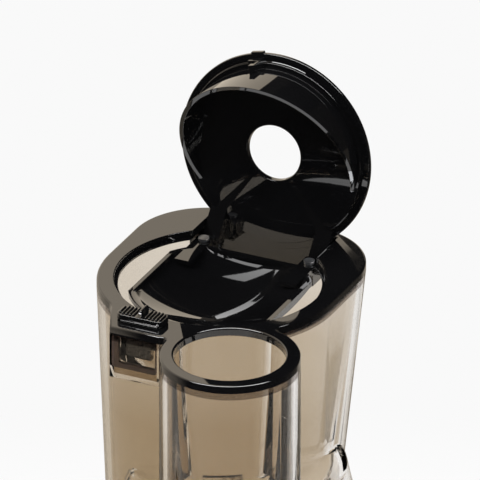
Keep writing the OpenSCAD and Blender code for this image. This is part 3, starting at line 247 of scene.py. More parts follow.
def hull(piece):
    startEdit(piece)
    bpy.ops.mesh.convex_hull()
    endEdit()


def bevelEdges(piece, test, width, segments):
    # rounds the edges that pass the test
    makeActive(piece)
    bpy.ops.object.mode_set(mode="EDIT")
    bpy.context.tool_settings.mesh_select_mode = (False, True, False)
    mesh = bmesh.from_edit_mesh(piece.data)
    mesh.select_mode = {"EDGE"}
    for edge in mesh.edges:
        edge.select_set(False)
    for edge in mesh.edges:
        if test(edge):
            edge.select_set(True)
    mesh.select_flush_mode()
    bmesh.update_edit_mesh(piece.data)
    bpy.ops.mesh.bevel(offset=width * mm, segments=segments, profile=0.5, clamp_overlap=True)
    endEdit()


def runsAlong(edge, axis):
    # true where an edge goes more than a millimetre along "x", "y" or "z"
    return abs(getattr(edge.verts[0].co - edge.verts[1].co, axis)) > 1 * mm


def softEdges(piece, width, segments=2, angle=mesher["edgeAngle"]):
    edge = piece.modifiers.new("edge", "BEVEL")
    edge.width = width * mm
    edge.segments = segments
    edge.limit_method = "ANGLE"
    edge.angle_limit = math.radians(angle)
    applyLast(piece)


def smooth(piece, turnOut=True):
    # curved faces shade as one, flat faces stay flat beside their soft edges
    if turnOut:
        startEdit(piece)
        bpy.ops.mesh.normals_make_consistent(inside=False)
        endEdit()
    makeActive(piece)
    bpy.ops.object.shade_smooth_by_angle(angle=math.radians(mesher["smoothAngle"]))
    even = piece.modifiers.new("even", "WEIGHTED_NORMAL")
    even.keep_sharp = True
    applyLast(piece)


def standsFor(piece, material, node):
    piece.data.materials.clear()
    piece.data.materials.append(material)
    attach(piece, bodyOf[node])
    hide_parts(node)


def fromHex(text):
    # sRGB hex to a linear colour
    parts = [int(text[i:i + 2], 16) / 255 for i in (1, 3, 5)]
    return tuple(p / 12.92 if p <= 0.04045 else ((p + 0.055) / 1.055) ** 2.4 for p in parts) + (1.0,)


def addNode(tree, kind, settings=None, links=None):
    node = tree.nodes.new(kind)
    for key, value in (settings or {}).items():
        if isinstance(key, str) and hasattr(node, key):
            setattr(node, key, value)
        else:
            node.inputs[key].default_value = value
    for key, source in (links or {}).items():
        tree.links.new(source, node.inputs[key])
    return node


def setStops(ramp, stops):
    # the stops of a colour ramp, as (position, linear colour)
    while len(ramp.elements) < len(stops):
        ramp.elements.new(0.5)
    for element, (position, colour) in zip(ramp.elements, stops):
        element.position = position
        element.color = colour


def startMaterial(name):
    material = bpy.data.materials.new(name)
    material.use_nodes = True
    tree = material.node_tree
    tree.nodes.clear()
    return material, tree


def finishMaterial(tree, shader):
    output = tree.nodes.new("ShaderNodeOutputMaterial")
    tree.links.new(shader.outputs[0], output.inputs["Surface"])


# patches of slightly different colour this many millimetres across, and how deep the mould's grain reads
mould = {"drift": 55.56, "driftDetail": 3.0, "low": 0.3, "high": 0.7, "grainDetail": 2.0, "bump": 0.25}


def mouldedPlastic(name, low, high, roughness, spread, grain, depth, ior, coat=0.0, coatRoughness=0.03):
    # colour drifts a little over the moulding, roughness follows the mould's texture of "grain" millimetres
    material, tree = startMaterial(name)
    place = addNode(tree, "ShaderNodeTexCoord").outputs["Object"]
    drift = addNode(tree, "ShaderNodeTexNoise",
                    {"Scale": 1.0 / (mould["drift"] * mm), "Detail": mould["driftDetail"]}, {"Vector": place})
    colour = addNode(tree, "ShaderNodeValToRGB", None, {"Fac": drift.outputs["Fac"]})
    setStops(colour.color_ramp, [(mould["low"], fromHex(low)), (mould["high"], fromHex(high))])
    fine = addNode(tree, "ShaderNodeTexNoise", {"Scale": 1.0 / (grain * mm), "Detail": mould["grainDetail"]},
                   {"Vector": place})
    rough = addNode(tree, "ShaderNodeMapRange", {"To Min": roughness - spread, "To Max": roughness + spread},
                    {"Value": fine.outputs["Fac"]})
    bump = addNode(tree, "ShaderNodeBump", {"Strength": mould["bump"], "Distance": depth * mm},
                   {"Height": fine.outputs["Fac"]})
    shader = addNode(tree, "ShaderNodeBsdfPrincipled",
                     {"IOR": ior, "Coat Weight": coat, "Coat Roughness": coatRoughness},
                     {"Base Color": colour.outputs["Color"], "Roughness": rough.outputs["Result"],
                      "Normal": bump.outputs["Normal"]})
    finishMaterial(tree, shader)
    return material


# piano black ABS from a polished mould: deep, wet gloss and a very slight orange peel of about 4 mm
pianoBlackAbs = mouldedPlastic("pianoBlackAbs", "#080809", "#0e0e0f", roughness=0.03, spread=0.01, grain=4.0,
                               depth=0.006, ior=1.53, coat=0.6, coatRoughness=0.015)
# spark-eroded ABS: fine even grain, soft broad highlight (the grain is drawn at 0.8 mm so that it shows)
satinBlackAbs = mouldedPlastic("satinBlackAbs", "#151516", "#1d1d1f", roughness=0.42, spread=0.08, grain=0.8,
                               depth=0.06, ior=1.53)
# glass-filled resin of the screw: dark, slightly warm, with a dull sheen
screwResin = mouldedPlastic("screwResin", "#191715", "#26231f", roughness=0.38, spread=0.07, grain=1.2,
                            depth=0.05, ior=1.56)
# moulded nylon: the strainer's is dark grey and semi matt, the gears' is left in its own ivory
strainerNylon = mouldedPlastic("strainerNylon", "#242526", "#2f3032", roughness=0.4, spread=0.06, grain=1.0,
                               depth=0.04, ior=1.53)
gearNylon = mouldedPlastic("gearNylon", "#d8d2c0", "#e6e1d2", roughness=0.45, spread=0.06, grain=1.5,
                           depth=0.03, ior=1.53)
# moulded silicone: matt and even, grey for the seals and red for the brush blades
greySilicone = mouldedPlastic("greySilicone", "#a9aaa8", "#b8b9b6", roughness=0.55, spread=0.06, grain=1.2,
                              depth=0.05, ior=1.41)
redSilicone = mouldedPlastic("redSilicone", "#a8261c", "#bb3226", roughness=0.5, spread=0.06, grain=1.2,
                             depth=0.05, ior=1.41)
# moulded rubber: almost no highlight
blackRubber = mouldedPlastic("blackRubber", "#121212", "#1b1b1a", roughness=0.72, spread=0.08, grain=0.7,
                             depth=0.08, ior=1.5)
# circuit board under solder lacquer: a smooth, slightly shiny green
greenBoard = mouldedPlastic("greenBoard", "#12452a", "#185534", roughness=0.32, spread=0.05, grain=2.0,
                            depth=0.02, ior=1.5)
# the pocket's rim is seen edge on, through so much resin that it reads as a solid dark umber
smokedEdge = mouldedPlastic("smokedEdge", "#40322f", "#4e3e3a", roughness=0.22, spread=0.04, grain=3.0,
                            depth=0.02, ior=1.54)

# tool marks this many millimetres long before they are stretched, coarse enough to show
toolMarks = {"size": 16.67, "detail": 4.0, "low": 0.35, "high": 0.65, "bump": 0.15, "depth": 0.05}


def turnedMetal(name, low, high, roughness, spread, stretch):
    # fine marks of the tool, much longer one way than the other
    material, tree = startMaterial(name)
    place = addNode(tree, "ShaderNodeTexCoord").outputs["Object"]
    lay = addNode(tree, "ShaderNodeMapping", {"Scale": stretch}, {"Vector": place})
    marks = addNode(tree, "ShaderNodeTexNoise",
                    {"Scale": 1.0 / (toolMarks["size"] * mm), "Detail": toolMarks["detail"]},
                    {"Vector": lay.outputs["Vector"]})
    colour = addNode(tree, "ShaderNodeValToRGB", None, {"Fac": marks.outputs["Fac"]})
    setStops(colour.color_ramp, [(toolMarks["low"], fromHex(low)), (toolMarks["high"], fromHex(high))])
    rough = addNode(tree, "ShaderNodeMapRange", {"To Min": roughness - spread, "To Max": roughness + spread},
                    {"Value": marks.outputs["Fac"]})
    bump = addNode(tree, "ShaderNodeBump",
                   {"Strength": toolMarks["bump"], "Distance": toolMarks["depth"] * mm},
                   {"Height": marks.outputs["Fac"]})
    shader = addNode(tree, "ShaderNodeBsdfPrincipled", {"Metallic": 1.0},
                     {"Base Color": colour.outputs["Color"], "Roughness": rough.outputs["Result"],
                      "Normal": bump.outputs["Normal"]})
    finishMaterial(tree, shader)
    return material


# turned or drawn stainless steel: pale and bright, with fine level rings
stainless = turnedMetal("stainless", "#b9babb", "#cfd0d1", roughness=0.26, spread=0.07,
                        stretch=(1.0, 1.0, 14.0))
# zinc plated screws: a slightly bluish, even shine
zincPlate = turnedMetal("zincPlate", "#b4b6ba", "#c9cbcf", roughness=0.3, spread=0.06,
                        stretch=(3.0, 3.0, 3.0))
# die cast aluminium: dull and cloudy
castAluminium = turnedMetal("castAluminium", "#8d8f92", "#a2a4a6", roughness=0.52, spread=0.08,
                            stretch=(2.0, 2.0, 2.0))
# rolled steel of the motor's can: darker, with faint level lines
motorSteel = turnedMetal("motorSteel", "#9fa2a6", "#b5b8bb", roughness=0.34, spread=0.06,
                         stretch=(1.0, 1.0, 6.0))
# lacquered copper winding: warm, with close turns
windingCopper = turnedMetal("windingCopper", "#a8603a", "#c47a4c", roughness=0.36, spread=0.08,
                            stretch=(1.0, 1.0, 20.0))
# hobbed brass: yellow, with short level marks
gearBrass = turnedMetal("gearBrass", "#b8964e", "#cdab62", roughness=0.3, spread=0.06,
                        stretch=(2.0, 2.0, 8.0))

# where the hopper's tint changes, from and to in millimetres: painted light makes it paler towards the
# chute's front, to the right and upwards, with painted shade deeper elsewhere, and the thick flange under the
# plate reads darker, but not inside the chute
smoke = {"ior": 1.3, "flow": 111.1, "flowDetail": 2.0, "flowShare": 0.12, "deepEnd": 0.06,
         "frontWay": (0.43, -0.903, 0), "front": (50, 66), "frontShare": 1.0,
         "right": (14, 36), "rightShare": 1.0, "rise": (392, 418), "riseShare": 0.3,
         "flange": (433.9, 434.1), "flangeShare": 0.9, "flangeTint": "#564a44",
         "chute": (25.5, 26), "chuteShare": 1.0}


def smokyCopolyester(name, tint, deepTint, roughness):
    # moulded clear copolyester with polished faces: a warm brown smoke, with faint flow lines in its tint,
    # and painted light and shade in that tint
    material, tree = startMaterial(name)
    place = addNode(tree, "ShaderNodeTexCoord").outputs["Object"]
    parts = addNode(tree, "ShaderNodeSeparateXYZ", None, {0: place})
    reach = addNode(tree, "ShaderNodeVectorMath", {"operation": "DOT_PRODUCT", 1: smoke["frontWay"]},
                    {0: place})
    level = addNode(tree, "ShaderNodeVectorMath", {"operation": "MULTIPLY", 1: (1, 1, 0)}, {0: place})
    fromChute = addNode(tree, "ShaderNodeVectorMath",
                        {"operation": "DISTANCE", 1: (chuteX * mm, chuteY * mm, 0)},
                        {0: level.outputs["Vector"]})
    sources = {"front": reach.outputs["Value"], "right": parts.outputs["X"], "rise": parts.outputs["Z"],
               "flange": parts.outputs["Z"], "chute": fromChute.outputs["Value"]}
    share = {}
    for key, source in sources.items():
        start, end = smoke[key]
        step = addNode(tree, "ShaderNodeMapRange",
                       {"From Min": start * mm, "From Max": end * mm, "To Max": smoke[key + "Share"]},
                       {"Value": source})
        share[key] = step.outputs["Result"]

    # painted light: the tint turns paler on the chute's front, on the right and higher up, and stays deep as
    # painted shade elsewhere
    paintedLightFrontRight = addNode(tree, "ShaderNodeMath", {"operation": "MAXIMUM"}, {0: share["front"], 1: share["right"]})
    paintedLight = addNode(tree, "ShaderNodeMath", {"operation": "ADD"}, {0: paintedLightFrontRight.outputs[0], 1: share["rise"]})
    flow = addNode(tree, "ShaderNodeTexNoise",
                   {"Scale": 1.0 / (smoke["flow"] * mm), "Detail": smoke["flowDetail"]}, {"Vector": place})
    mixed = addNode(tree, "ShaderNodeMath", {"operation": "MULTIPLY_ADD", 1: smoke["flowShare"]},
                    {0: flow.outputs["Fac"], 2: paintedLight.outputs[0]})
    colour = addNode(tree, "ShaderNodeValToRGB", None, {"Fac": mixed.outputs[0]})
    setStops(colour.color_ramp, [(smoke["deepEnd"], fromHex(deepTint)), (1.0, fromHex(tint))])
    band = addNode(tree, "ShaderNodeMath", {"operation": "MULTIPLY"}, {0: share["flange"], 1: share["chute"]})
    banded = addNode(tree, "ShaderNodeMix", {"data_type": "RGBA", "B": fromHex(smoke["flangeTint"])},
                     {"Factor": band.outputs[0], "A": colour.outputs["Color"]})
    shader = addNode(tree, "ShaderNodeBsdfPrincipled",
                     {"Transmission Weight": 1.0, "IOR": smoke["ior"], "Roughness": roughness},
                     {"Base Color": banded.outputs["Result"]})
    finishMaterial(tree, shader)
    return material


# the pale tint is the painted light and the deep tint is the painted shade of the same smoke
smokyClear = smokyCopolyester("smokyClear", tint="#f6f3ef", deepTint="#c9bba6", roughness=0.02)
# the lip under the plate is a thick ring of the same resin
smokyThick = smokyCopolyester("smokyThick", tint="#8f8273", deepTint="#8a7c6b", roughness=0.04)

nodeFinish = {
    "base_housing": satinBlackAbs, "bottom_cover": satinBlackAbs, "feet": blackRubber,
    "bottom_screws": zincPlate, "deck_ring": stainless, "cord_inlet": blackRubber,
    "motor_can": motorSteel, "motor_screws": zincPlate, "motor_rotor": windingCopper,
    "motor_pinion": gearBrass, "motor_fan": satinBlackAbs, "middle_gear": gearNylon,
    "middle_gear_pin": stainless, "output_gear": gearNylon, "output_shaft": stainless,
    "lower_bearing": stainless, "upper_bearing": stainless, "shaft_seal": blackRubber,
    "gearbox_case": castAluminium, "gearbox_lid": castAluminium, "gearbox_screws": zincPlate,
    "control_board": greenBoard, "speed_switch": satinBlackAbs, "control_knob": satinBlackAbs,
    "interlock_switch": satinBlackAbs, "bowl": smokyClear, "bowl_gasket": greySilicone,
    "idler_pin": stainless, "idler_gear": screwResin, "brush_frame": strainerNylon,
    "brush_blades": redSilicone, "strainer_frame": strainerNylon, "strainer_mesh": stainless,
    "screw": screwResin, "screw_socket": stainless, "juice_cap": pianoBlackAbs,
    "juice_cap_seal": greySilicone, "juice_cap_pin": stainless, "pulp_lever": satinBlackAbs,
    "pulp_plug": greySilicone, "pulp_lever_pin": stainless, "hopper": smokyClear,
    "hopper_seal": greySilicone, "top_plate": pianoBlackAbs, "hinge_pins": stainless,
    "feed_lid": pianoBlackAbs, "flip_gate": pianoBlackAbs, "gate_screws": zincPlate,
    "latch_slider": pianoBlackAbs,
}
for nodeName, finish in nodeFinish.items():
    cadNodes[nodeName].data.materials.clear()
    cadNodes[nodeName].data.materials.append(finish)
print("scene: materials ready")

# nodes that keep their shape and get smooth shading and soft edges, with the edges' width in millimetres
softNodes = {
    "hopper": 0.0, "bowl": 0.0, "base_housing": 0.0, "juice_cap": 0.3, "control_knob": 0.3, "screw": 0.3,
    "strainer_frame": 0.0, "brush_frame": 0.0, "deck_ring": 0.2, "feet": 0.3, "cord_inlet": 0.3,
    "pulp_lever": 0.3, "strainer_mesh": 0.0,
}
for nodeName, width in softNodes.items():
    piece = copyNode(nodeName)
    if width:
        softEdges(piece, width, angle=mesher["copyEdgeAngle"])
    smooth(piece, turnOut=False)
    standsFor(piece, nodeFinish[nodeName], nodeName)
print("scene: softened pieces ready")

# top plate in millimetres: heights are above the table, and the places of its edges from the mouth's centre
plate = {"under": 436.8, "recess": 437.5, "rimLevel": 438.2, "floorLevel": 437.1, "lap": 0.1,
         "lip": 436.0, "lipFoot": 434.0, "lipLap": 0.05, "chuteRoom": 26.6,
         "rimRound": 0.9, "rimSegments": 5, "mouthRound": 0.35, "mouthSegments": 2, "holeRound": 0.8,
         "holeSegments": 3, "holeReach": 23.5, "mouthReach": 44,
         "notchHalf": 27.3, "notchFront": 19, "notchBack": 51.7,
         "slotLeft": -21.5, "slotRight": -2, "slotFront": -51.5, "slotBack": -48,
         "topNear": 0.02, "sharp": 60}
# the two ears that carry the hinge pins, from the mouth's centre and the plate's top face
hinge = {"y": 41.4, "z": -8.6, "pinHole": 1.55, "pinReach": 40, "earIn": 27.2, "earOut": 31.2, "earR": 4.0,
         "earRound": 0.3, "neckDrop": 1.0, "neckLap": 0.4}
hingeY, hingeZ = mouthY + hinge["y"], topZ + hinge["z"]


def drillHinge(piece):
    cut(piece, crossRod("pinHole", hinge["pinHole"], mouthX - hinge["pinReach"], mouthX + hinge["pinReach"],
                        hingeY, hingeZ, divisions["pin"]))


topPlate = sliceOf("top_plate", plate["rimLevel"], plate["recess"] - plate["lap"], topZ)
topPlate.name = "topPlate"
cut(topPlate, sliceOf("top_plate", plate["floorLevel"], plate["under"], plate["recess"]), "UNION")
for side in (-1, 1):
    left, right = sorted((mouthX + side * hinge["earIn"], mouthX + side * hinge["earOut"]))
    ear = crossRod("ear", hinge["earR"], left, right, hingeY, hingeZ, divisions["small"])
    neck = block("neck", (left, hingeY - hinge["earR"], plate["under"] - hinge["neckDrop"]),
                 (right, hingeY + hinge["earR"], plate["under"] + hinge["neckLap"]))
    hull(join("ear", ear, neck))
    softEdges(ear, hinge["earRound"])
    cut(topPlate, ear, "UNION")
drillHinge(topPlate)
plateLip = sliceOf("top_plate", plate["lip"], plate["lipFoot"], plate["under"] + plate["lipLap"])
plateLip.name = "plateLip"
cut(plateLip, disc("chuteRoom", plate["chuteRoom"], plate["lipFoot"] - past, topZ, (chuteX, chuteY)))


def plateEdge(edge):
    # names the loop that an edge of the top face belongs to
    if len(edge.link_faces) != 2 or any(abs(v.co.z - topZ * mm) > plate["topNear"] * mm for v in edge.verts):
        return None
    if edge.calc_face_angle() < math.radians(plate["sharp"]):
        return None
    middle = (edge.verts[0].co + edge.verts[1].co) / 2 / mm
    x, y = middle.x - mouthX, middle.y - mouthY
    if math.hypot(middle.x - chuteX, middle.y - chuteY) < plate["holeReach"]:
        return "hole"
    inNotch = abs(x) < plate["notchHalf"] and plate["notchFront"] < y < plate["notchBack"]
    if math.hypot(x, y) < plate["mouthReach"] or inNotch:
        return "mouth"
    if plate["slotFront"] < y < plate["slotBack"] and plate["slotLeft"] < x < plate["slotRight"]:
        return "slot"
    return "rim"


# the latch's slot stays sharp
for loop in ("hole", "mouth", "rim"):
    bevelEdges(topPlate, lambda edge: plateEdge(edge) == loop, plate[loop + "Round"],
               plate[loop + "Segments"])
smooth(topPlate)
standsFor(topPlate, pianoBlackAbs, "top_plate")
smooth(plateLip)
standsFor(plateLip, smokyThick, "top_plate")
print("scene: top plate ready")

# feed lid, drawn closed with the mouth's centre and the plate's top face at zero, then opened
lid = {"open": 94, "rim": 41.2, "rimTop": -0.3, "rimUnder": -2.2, "round": 0.5, "edge": 0.15, "seam": 0.04,
       "disc": 38.0, "discUnder": -3.8, "discRound": 0.3, "hole": 11.6, "steps": 4, "discSteps": 3,
       "dish": 35.2, "dishFloor": -0.8, "dishDraft": 0.1, "dishEdge": 0.3}
rimTop, rimUnder, lidSeam = lid["rimTop"], lid["rimUnder"], lid["seam"]
rimR, edgeR, discR = lid["round"], lid["edge"], lid["discRound"]
lidOutline = (arc((lid["hole"] + rimR, lid["discUnder"] + rimR), rimR, 270, 180, lid["steps"])
              + arc((lid["hole"] + rimR, lid["dishFloor"] - rimR), rimR, 180, 90, lid["steps"])
              + [(lid["dish"], lid["dishFloor"]), (lid["dish"] + lid["dishDraft"], rimTop - edgeR),
                 (lid["dish"] + lid["dishEdge"], rimTop)]
              + arc((lid["rim"] - rimR, rimTop - rimR), rimR, 90, 0, lid["steps"])
              + arc((lid["rim"] - rimR, rimUnder + rimR), rimR, 0, -90, lid["steps"])
              + [(lid["disc"] + edgeR, rimUnder), (lid["disc"], rimUnder - edgeR)]
              + arc((lid["disc"] - discR, lid["discUnder"] + discR), discR, 0, -90, lid["discSteps"])
              + [(lid["hole"] + rimR, lid["discUnder"])])
feedLid = turned("feedLid", lidOutline, divisions["large"])

# its skirt, cut off on a slant
skirtSizes = {"radius": 36.6, "wall": 1.8, "top": -3, "foot": -30, "drop": -10.2, "slant": 0.486, "turn": -7,
              "round": 0.4, "segments": 3, "near": 0.01}
outer, inner = skirtSizes["radius"], skirtSizes["radius"] - skirtSizes["wall"]
top, foot = skirtSizes["top"], skirtSizes["foot"]
slantPoint = Vector((0, 0, skirtSizes["drop"]))
slantWay = Vector((0, skirtSizes["slant"], -1)).normalized()


def onSlant(edge):
    return all(abs((v.co / mm - slantPoint).dot(slantWay)) < skirtSizes["near"] for v in edge.verts)


skirt = turned("skirt", [(outer, foot), (outer, top), (inner, top), (inner, foot), (outer, foot)],
               divisions["large"])
sliceAway(skirt, slantPoint, slantWay)
bevelEdges(skirt, onSlant, skirtSizes["round"], skirtSizes["segments"])
turnAbout(skirt, "Z", skirtSizes["turn"])
cut(feedLid, skirt, "UNION")

# the tail behind its rim, that drops into the plate's notch
tailSizes = {"half": 22.0, "from": 30, "reach": 48.2, "inner": 37, "round": 0.4}
tail = block("tail", (-tailSizes["half"], tailSizes["from"], rimUnder + lidSeam),
             (tailSizes["half"], tailSizes["reach"], rimTop - lidSeam))
softEdges(tail, tailSizes["round"])
cut(tail, disc("inner", tailSizes["inner"], rimUnder - past, rimTop + past, sides=divisions["large"]))
cut(feedLid, tail, "UNION")

# the hook that the latch slider holds: a slit prong, a grooved web beside it and a tab on the rim over them
hook = {"turn": -13, "width": 5.6, "out": 39.7, "round": 0.35,
        "prongFrom": 0.2, "prongDrop": -12.0, "prongRoot": 35.6, "prongLap": 0.9,
        "slitLow": -9.6, "slitHigh": -6.4, "slitWall": 1.2, "slitDeep": 2.7,
        "webDrop": -6.0, "webRoot": 35.7, "webLap": 0.5,
        "groove": 0.45, "grooveFrom": 0.9, "grooveTo": 30, "grooveTop": 0.6, "tabOut": 41.9, "tabRoot": 38.6}
halfW, out = hook["width"] / 2, hook["out"]
prong = block("prong", (hook["prongFrom"], -out, hook["prongDrop"]),
              (halfW, -hook["prongRoot"], rimUnder + hook["prongLap"]))
cut(prong, block("slit", (-halfW - past, -out - past, hook["slitLow"]),
                 (halfW - hook["slitWall"], -out + hook["slitDeep"], hook["slitHigh"])))
web = block("web", (-halfW, -out, hook["webDrop"]), (halfW, -hook["webRoot"], rimUnder + hook["webLap"]))
cut(web, block("groove", (-hook["groove"], -out + hook["grooveFrom"], hook["webDrop"] - past),
               (hook["groove"], -hook["grooveTo"], rimUnder - hook["grooveTop"])))
tab = block("tab", (-halfW, -hook["tabOut"], rimUnder - lidSeam), (halfW, -hook["tabRoot"], rimTop + lidSeam))
for part in (prong, web, tab):
    softEdges(part, hook["round"])
    turnAbout(part, "Z", hook["turn"])
    cut(feedLid, part, "UNION")

# two knuckles on the hinge pins, each with an arm to the rim and a seat under the gate's arm
knuckle = {"radius": 3.4, "from": 19.6, "width": 7.0, "round": 0.35, "armFrom": 27, "armTo": 31,
           "armDrop": 0.6, "armLap": 0.2, "seatFrom": 12, "seatTo": 2, "seatLow": 428.0, "seatHigh": 433.0,
           "seatRound": 0.3}


def knuckleEnds(middle, side):
    return sorted((middle + side * knuckle["from"], middle + side * (knuckle["from"] + knuckle["width"])))


for side in (-1, 1):
    left, right = knuckleEnds(0, side)
    barrel = crossRod("knuckle", knuckle["radius"], left, right, hinge["y"], hinge["z"], divisions["small"])
    arm = block("arm", (left, knuckle["armFrom"], rimUnder - knuckle["armDrop"]),
                (right, knuckle["armTo"], rimUnder + knuckle["armLap"]))
    hull(join("knuckle", barrel, arm))
    softEdges(barrel, knuckle["round"])
    cut(feedLid, barrel, "UNION")
turnAbout(feedLid, "X", -lid["open"], (0, hinge["y"], hinge["z"]))
shift(feedLid, mouthX, mouthY, topZ)
for side in (-1, 1):
    left, right = knuckleEnds(mouthX, side)
    seat = block("seat", (left, hingeY - knuckle["seatFrom"], knuckle["seatLow"]),
                 (right, hingeY - knuckle["seatTo"], knuckle["seatHigh"]))
    softEdges(seat, knuckle["seatRound"])
    cut(feedLid, seat, "UNION")
drillHinge(feedLid)
smooth(feedLid)
standsFor(feedLid, pianoBlackAbs, "feed_lid")
print("scene: feed lid ready")

# flip gate: a shallow scoop with a rim and two arms, drawn with the mouth's centre and its own rim at zero
gate = {"radius": 36.4, "halfWidth": 31.0, "back": 30.0, "drop": 4.0, "scoop": 6.0, "wall": 1.6, "seam": 0.03,
        "rim": 2.0, "rimDeep": 2.0, "rimNear": 0.2, "railFront": -60, "toolHalf": 10, "round": 0.3,
        "armFrom": 14.0, "armTo": 38.0, "armThick": 3.0, "armStep": 14, "armStepDeep": 1, "steps": 18}
halfW, rim, seam = gate["halfWidth"], gate["rim"], gate["seam"]
ball = (gate["radius"] ** 2 + gate["scoop"] ** 2) / (2 * gate["scoop"])
sweep = math.degrees(math.asin(gate["radius"] / ball))
under = arc((0, ball - gate["scoop"] - gate["wall"]), ball, -90, -90 + sweep, gate["steps"])
above = arc((0, ball - gate["scoop"]), ball, -90 + sweep, -90, gate["steps"])
flipGate = turned("flipGate", under + [(gate["radius"], 0), (gate["radius"] - rim, 0)]
                  + [point for point in above if point[0] < gate["radius"] - rim - gate["rimNear"]],
                  divisions["usual"])
for side in (-1, 1):
    sliceAway(flipGate, (side * (halfW - seam), 0, 0), (side, 0, 0))
sliceAway(flipGate, (0, gate["back"] - seam, 0), (0, 1, 0))
rail = block("rail", (-halfW, gate["railFront"], -gate["rimDeep"]), (halfW, gate["back"], -seam))
toolHalf = gate["toolHalf"]
cut(rail, block("railHole", (-halfW + rim, gate["railFront"] - toolHalf, -toolHalf),
                (halfW - rim, gate["back"] - rim, toolHalf)))
cut(rail, disc("round", gate["radius"] - seam, -toolHalf, toolHalf, sides=divisions["medium"]), "INTERSECT")
cut(flipGate, rail, "UNION")
armFrom, armLow = gate["armFrom"], -gate["armThick"]
for side in (-1, 1):
    left, right = knuckleEnds(0, side)
    arm = block("arm", (left, armFrom, armLow), (right, gate["armTo"], seam))
    cut(arm, block("step", (left - past, armFrom - past, armLow - past),
                   (right + past, armFrom + gate["armStep"], armLow + gate["armStepDeep"])))
    cut(flipGate, arm, "UNION")
softEdges(flipGate, gate["round"])
shift(flipGate, mouthX, mouthY, topZ - gate["drop"])
smooth(flipGate)
standsFor(flipGate, pianoBlackAbs, "flip_gate")
print("scene: flip gate ready")

# latch slider, drawn about its own middle, with the plate's top face at zero
latch = {"x": -11.2, "y": -46.6, "length": 20.0, "width": 8.4, "low": 0.3, "high": 2.9, "bodyTop": 440.15,
         "corner": 2.4, "cornerSegments": 6, "round": 0.3, "segments": 3, "sunk": 0.5}
ribs = {"number": 5, "first": 2.7, "step": 1.5, "width": 0.85, "top": 3.55, "short": 0.7, "lastShort": 1.5}
finSizes = {"half": 1.0, "short": 0.3, "top": 5.2, "middle": 4, "narrow": 0.62, "lean": 1.8, "round": 0.28,
            "angle": 25}
ledgeSizes = {"front": 1.1, "left": 2.6, "right": 1.2, "rise": 0.02, "high": 0.9, "round": 0.25}
halfL, halfW, segments = latch["length"] / 2, latch["width"] / 2, latch["segments"]
slider = block("latchSlider", (-halfL, -halfW, latch["low"]), (halfL, halfW, latch["high"]))
bevelEdges(slider, lambda edge: runsAlong(edge, "z"), latch["corner"], latch["cornerSegments"])
softEdges(slider, latch["round"], segments)
for side in (-1, 1):
    for number in range(ribs["number"]):
        middle = side * (ribs["first"] + number * ribs["step"])
        ribEnd = halfW - (ribs["short"] if number < ribs["number"] - 1 else ribs["lastShort"])
        rib = block("rib", (middle - ribs["width"] / 2, -ribEnd, latch["high"] - latch["sunk"]),
                    (middle + ribs["width"] / 2, ribEnd, ribs["top"]))
        softEdges(rib, latch["round"], segments)
        cut(slider, rib, "UNION")
finEnd = halfW - finSizes["short"]
fin = block("fin", (-finSizes["half"], -finEnd, latch["high"] - latch["sunk"]),
            (finSizes["half"], finEnd, finSizes["top"]))
startEdit(fin)
mesh = bmesh.from_edit_mesh(fin.data)
for vertex in mesh.verts:
    # the fin narrows upwards, and its front edge leans back
    if vertex.co.z > finSizes["middle"] * mm:
        vertex.co.x *= finSizes["narrow"]
        if vertex.co.y < 0:
            vertex.co.y += finSizes["lean"] * mm
bmesh.update_edit_mesh(fin.data)
endEdit()
softEdges(fin, finSizes["round"], segments, finSizes["angle"])
cut(slider, fin, "UNION")
ledge = block("ledge", (-halfL + ledgeSizes["left"], -halfW - ledgeSizes["front"],
                        latch["low"] + ledgeSizes["rise"]),
              (halfL - ledgeSizes["right"], 0, latch["low"] + ledgeSizes["high"]))
softEdges(ledge, ledgeSizes["round"], segments)
cut(slider, ledge, "UNION")
shift(slider, mouthX + latch["x"], mouthY + latch["y"], topZ)
# from the plate down the slider keeps the node's own shape
sliderBody = copyNode("latch_slider")
sliceAway(sliderBody, (0, 0, latch["bodyTop"]), (0, 0, 1))
join("latchSlider", slider, sliderBody)
smooth(slider)
standsFor(slider, pianoBlackAbs, "latch_slider")

# rim of the latch's pocket in the hopper's front, from the mouth's centre and with heights above the table
pocket = {"left": -20.4, "right": -0.8, "low": 422.1, "high": 436.6, "front": -55.25, "back": -53.4,
          "post": 3.0, "rightPost": 0.7, "sill": 2.2, "head": 0.9, "round": 0.2,
          "corner": 1.6, "cornerSegments": 5, "innerCorner": 0.6, "innerSegments": 4}
left, right = mouthX + pocket["left"], mouthX + pocket["right"]
front, back = mouthY + pocket["front"], mouthY + pocket["back"]
pocketRim = block("latchPocketRim", (left, front, pocket["low"]), (right, back, pocket["high"]))
bevelEdges(pocketRim, lambda edge: runsAlong(edge, "y"), pocket["corner"], pocket["cornerSegments"])
window = block("window", (left + pocket["post"], front - past, pocket["low"] + pocket["sill"]),
               (right - pocket["rightPost"], back + past, pocket["high"] - pocket["head"]))
bevelEdges(window, lambda edge: runsAlong(edge, "y"), pocket["innerCorner"], pocket["innerSegments"])
cut(pocketRim, window)
softEdges(pocketRim, pocket["round"])
smooth(pocketRim)
standsFor(pocketRim, smokedEdge, "hopper")
print("scene: latch ready")

# floor in millimetres, its paper keeps the shadow near the object and fades into plain white further out
floor = {"size": 6000, "colour": "#f9f9f8", "white": "#f9f9f9", "shadowNear": 100, "shadowFar": 750}
# what shiny faces see round the object, as (degrees from straight behind, brightness)
# higher up than highFrom degrees the bright wall already ends at highEnd on the right
room = {"bright": "#fff0da", "turn": 25.5, "fill": 0.55, "dark": 0.01,
        "wallStops": [(-110, 0.01), (-82, 0.55), (-50, 1.0), (16, 1.0), (17.5, 0.01)],
        "highEnd": (0.34, 0.4), "highFrom": 23.5,
        "floorStops": [(-110, 0.01), (-85, 0.4), (34, 0.4), (44, 0.1), (88, 0.01)]}


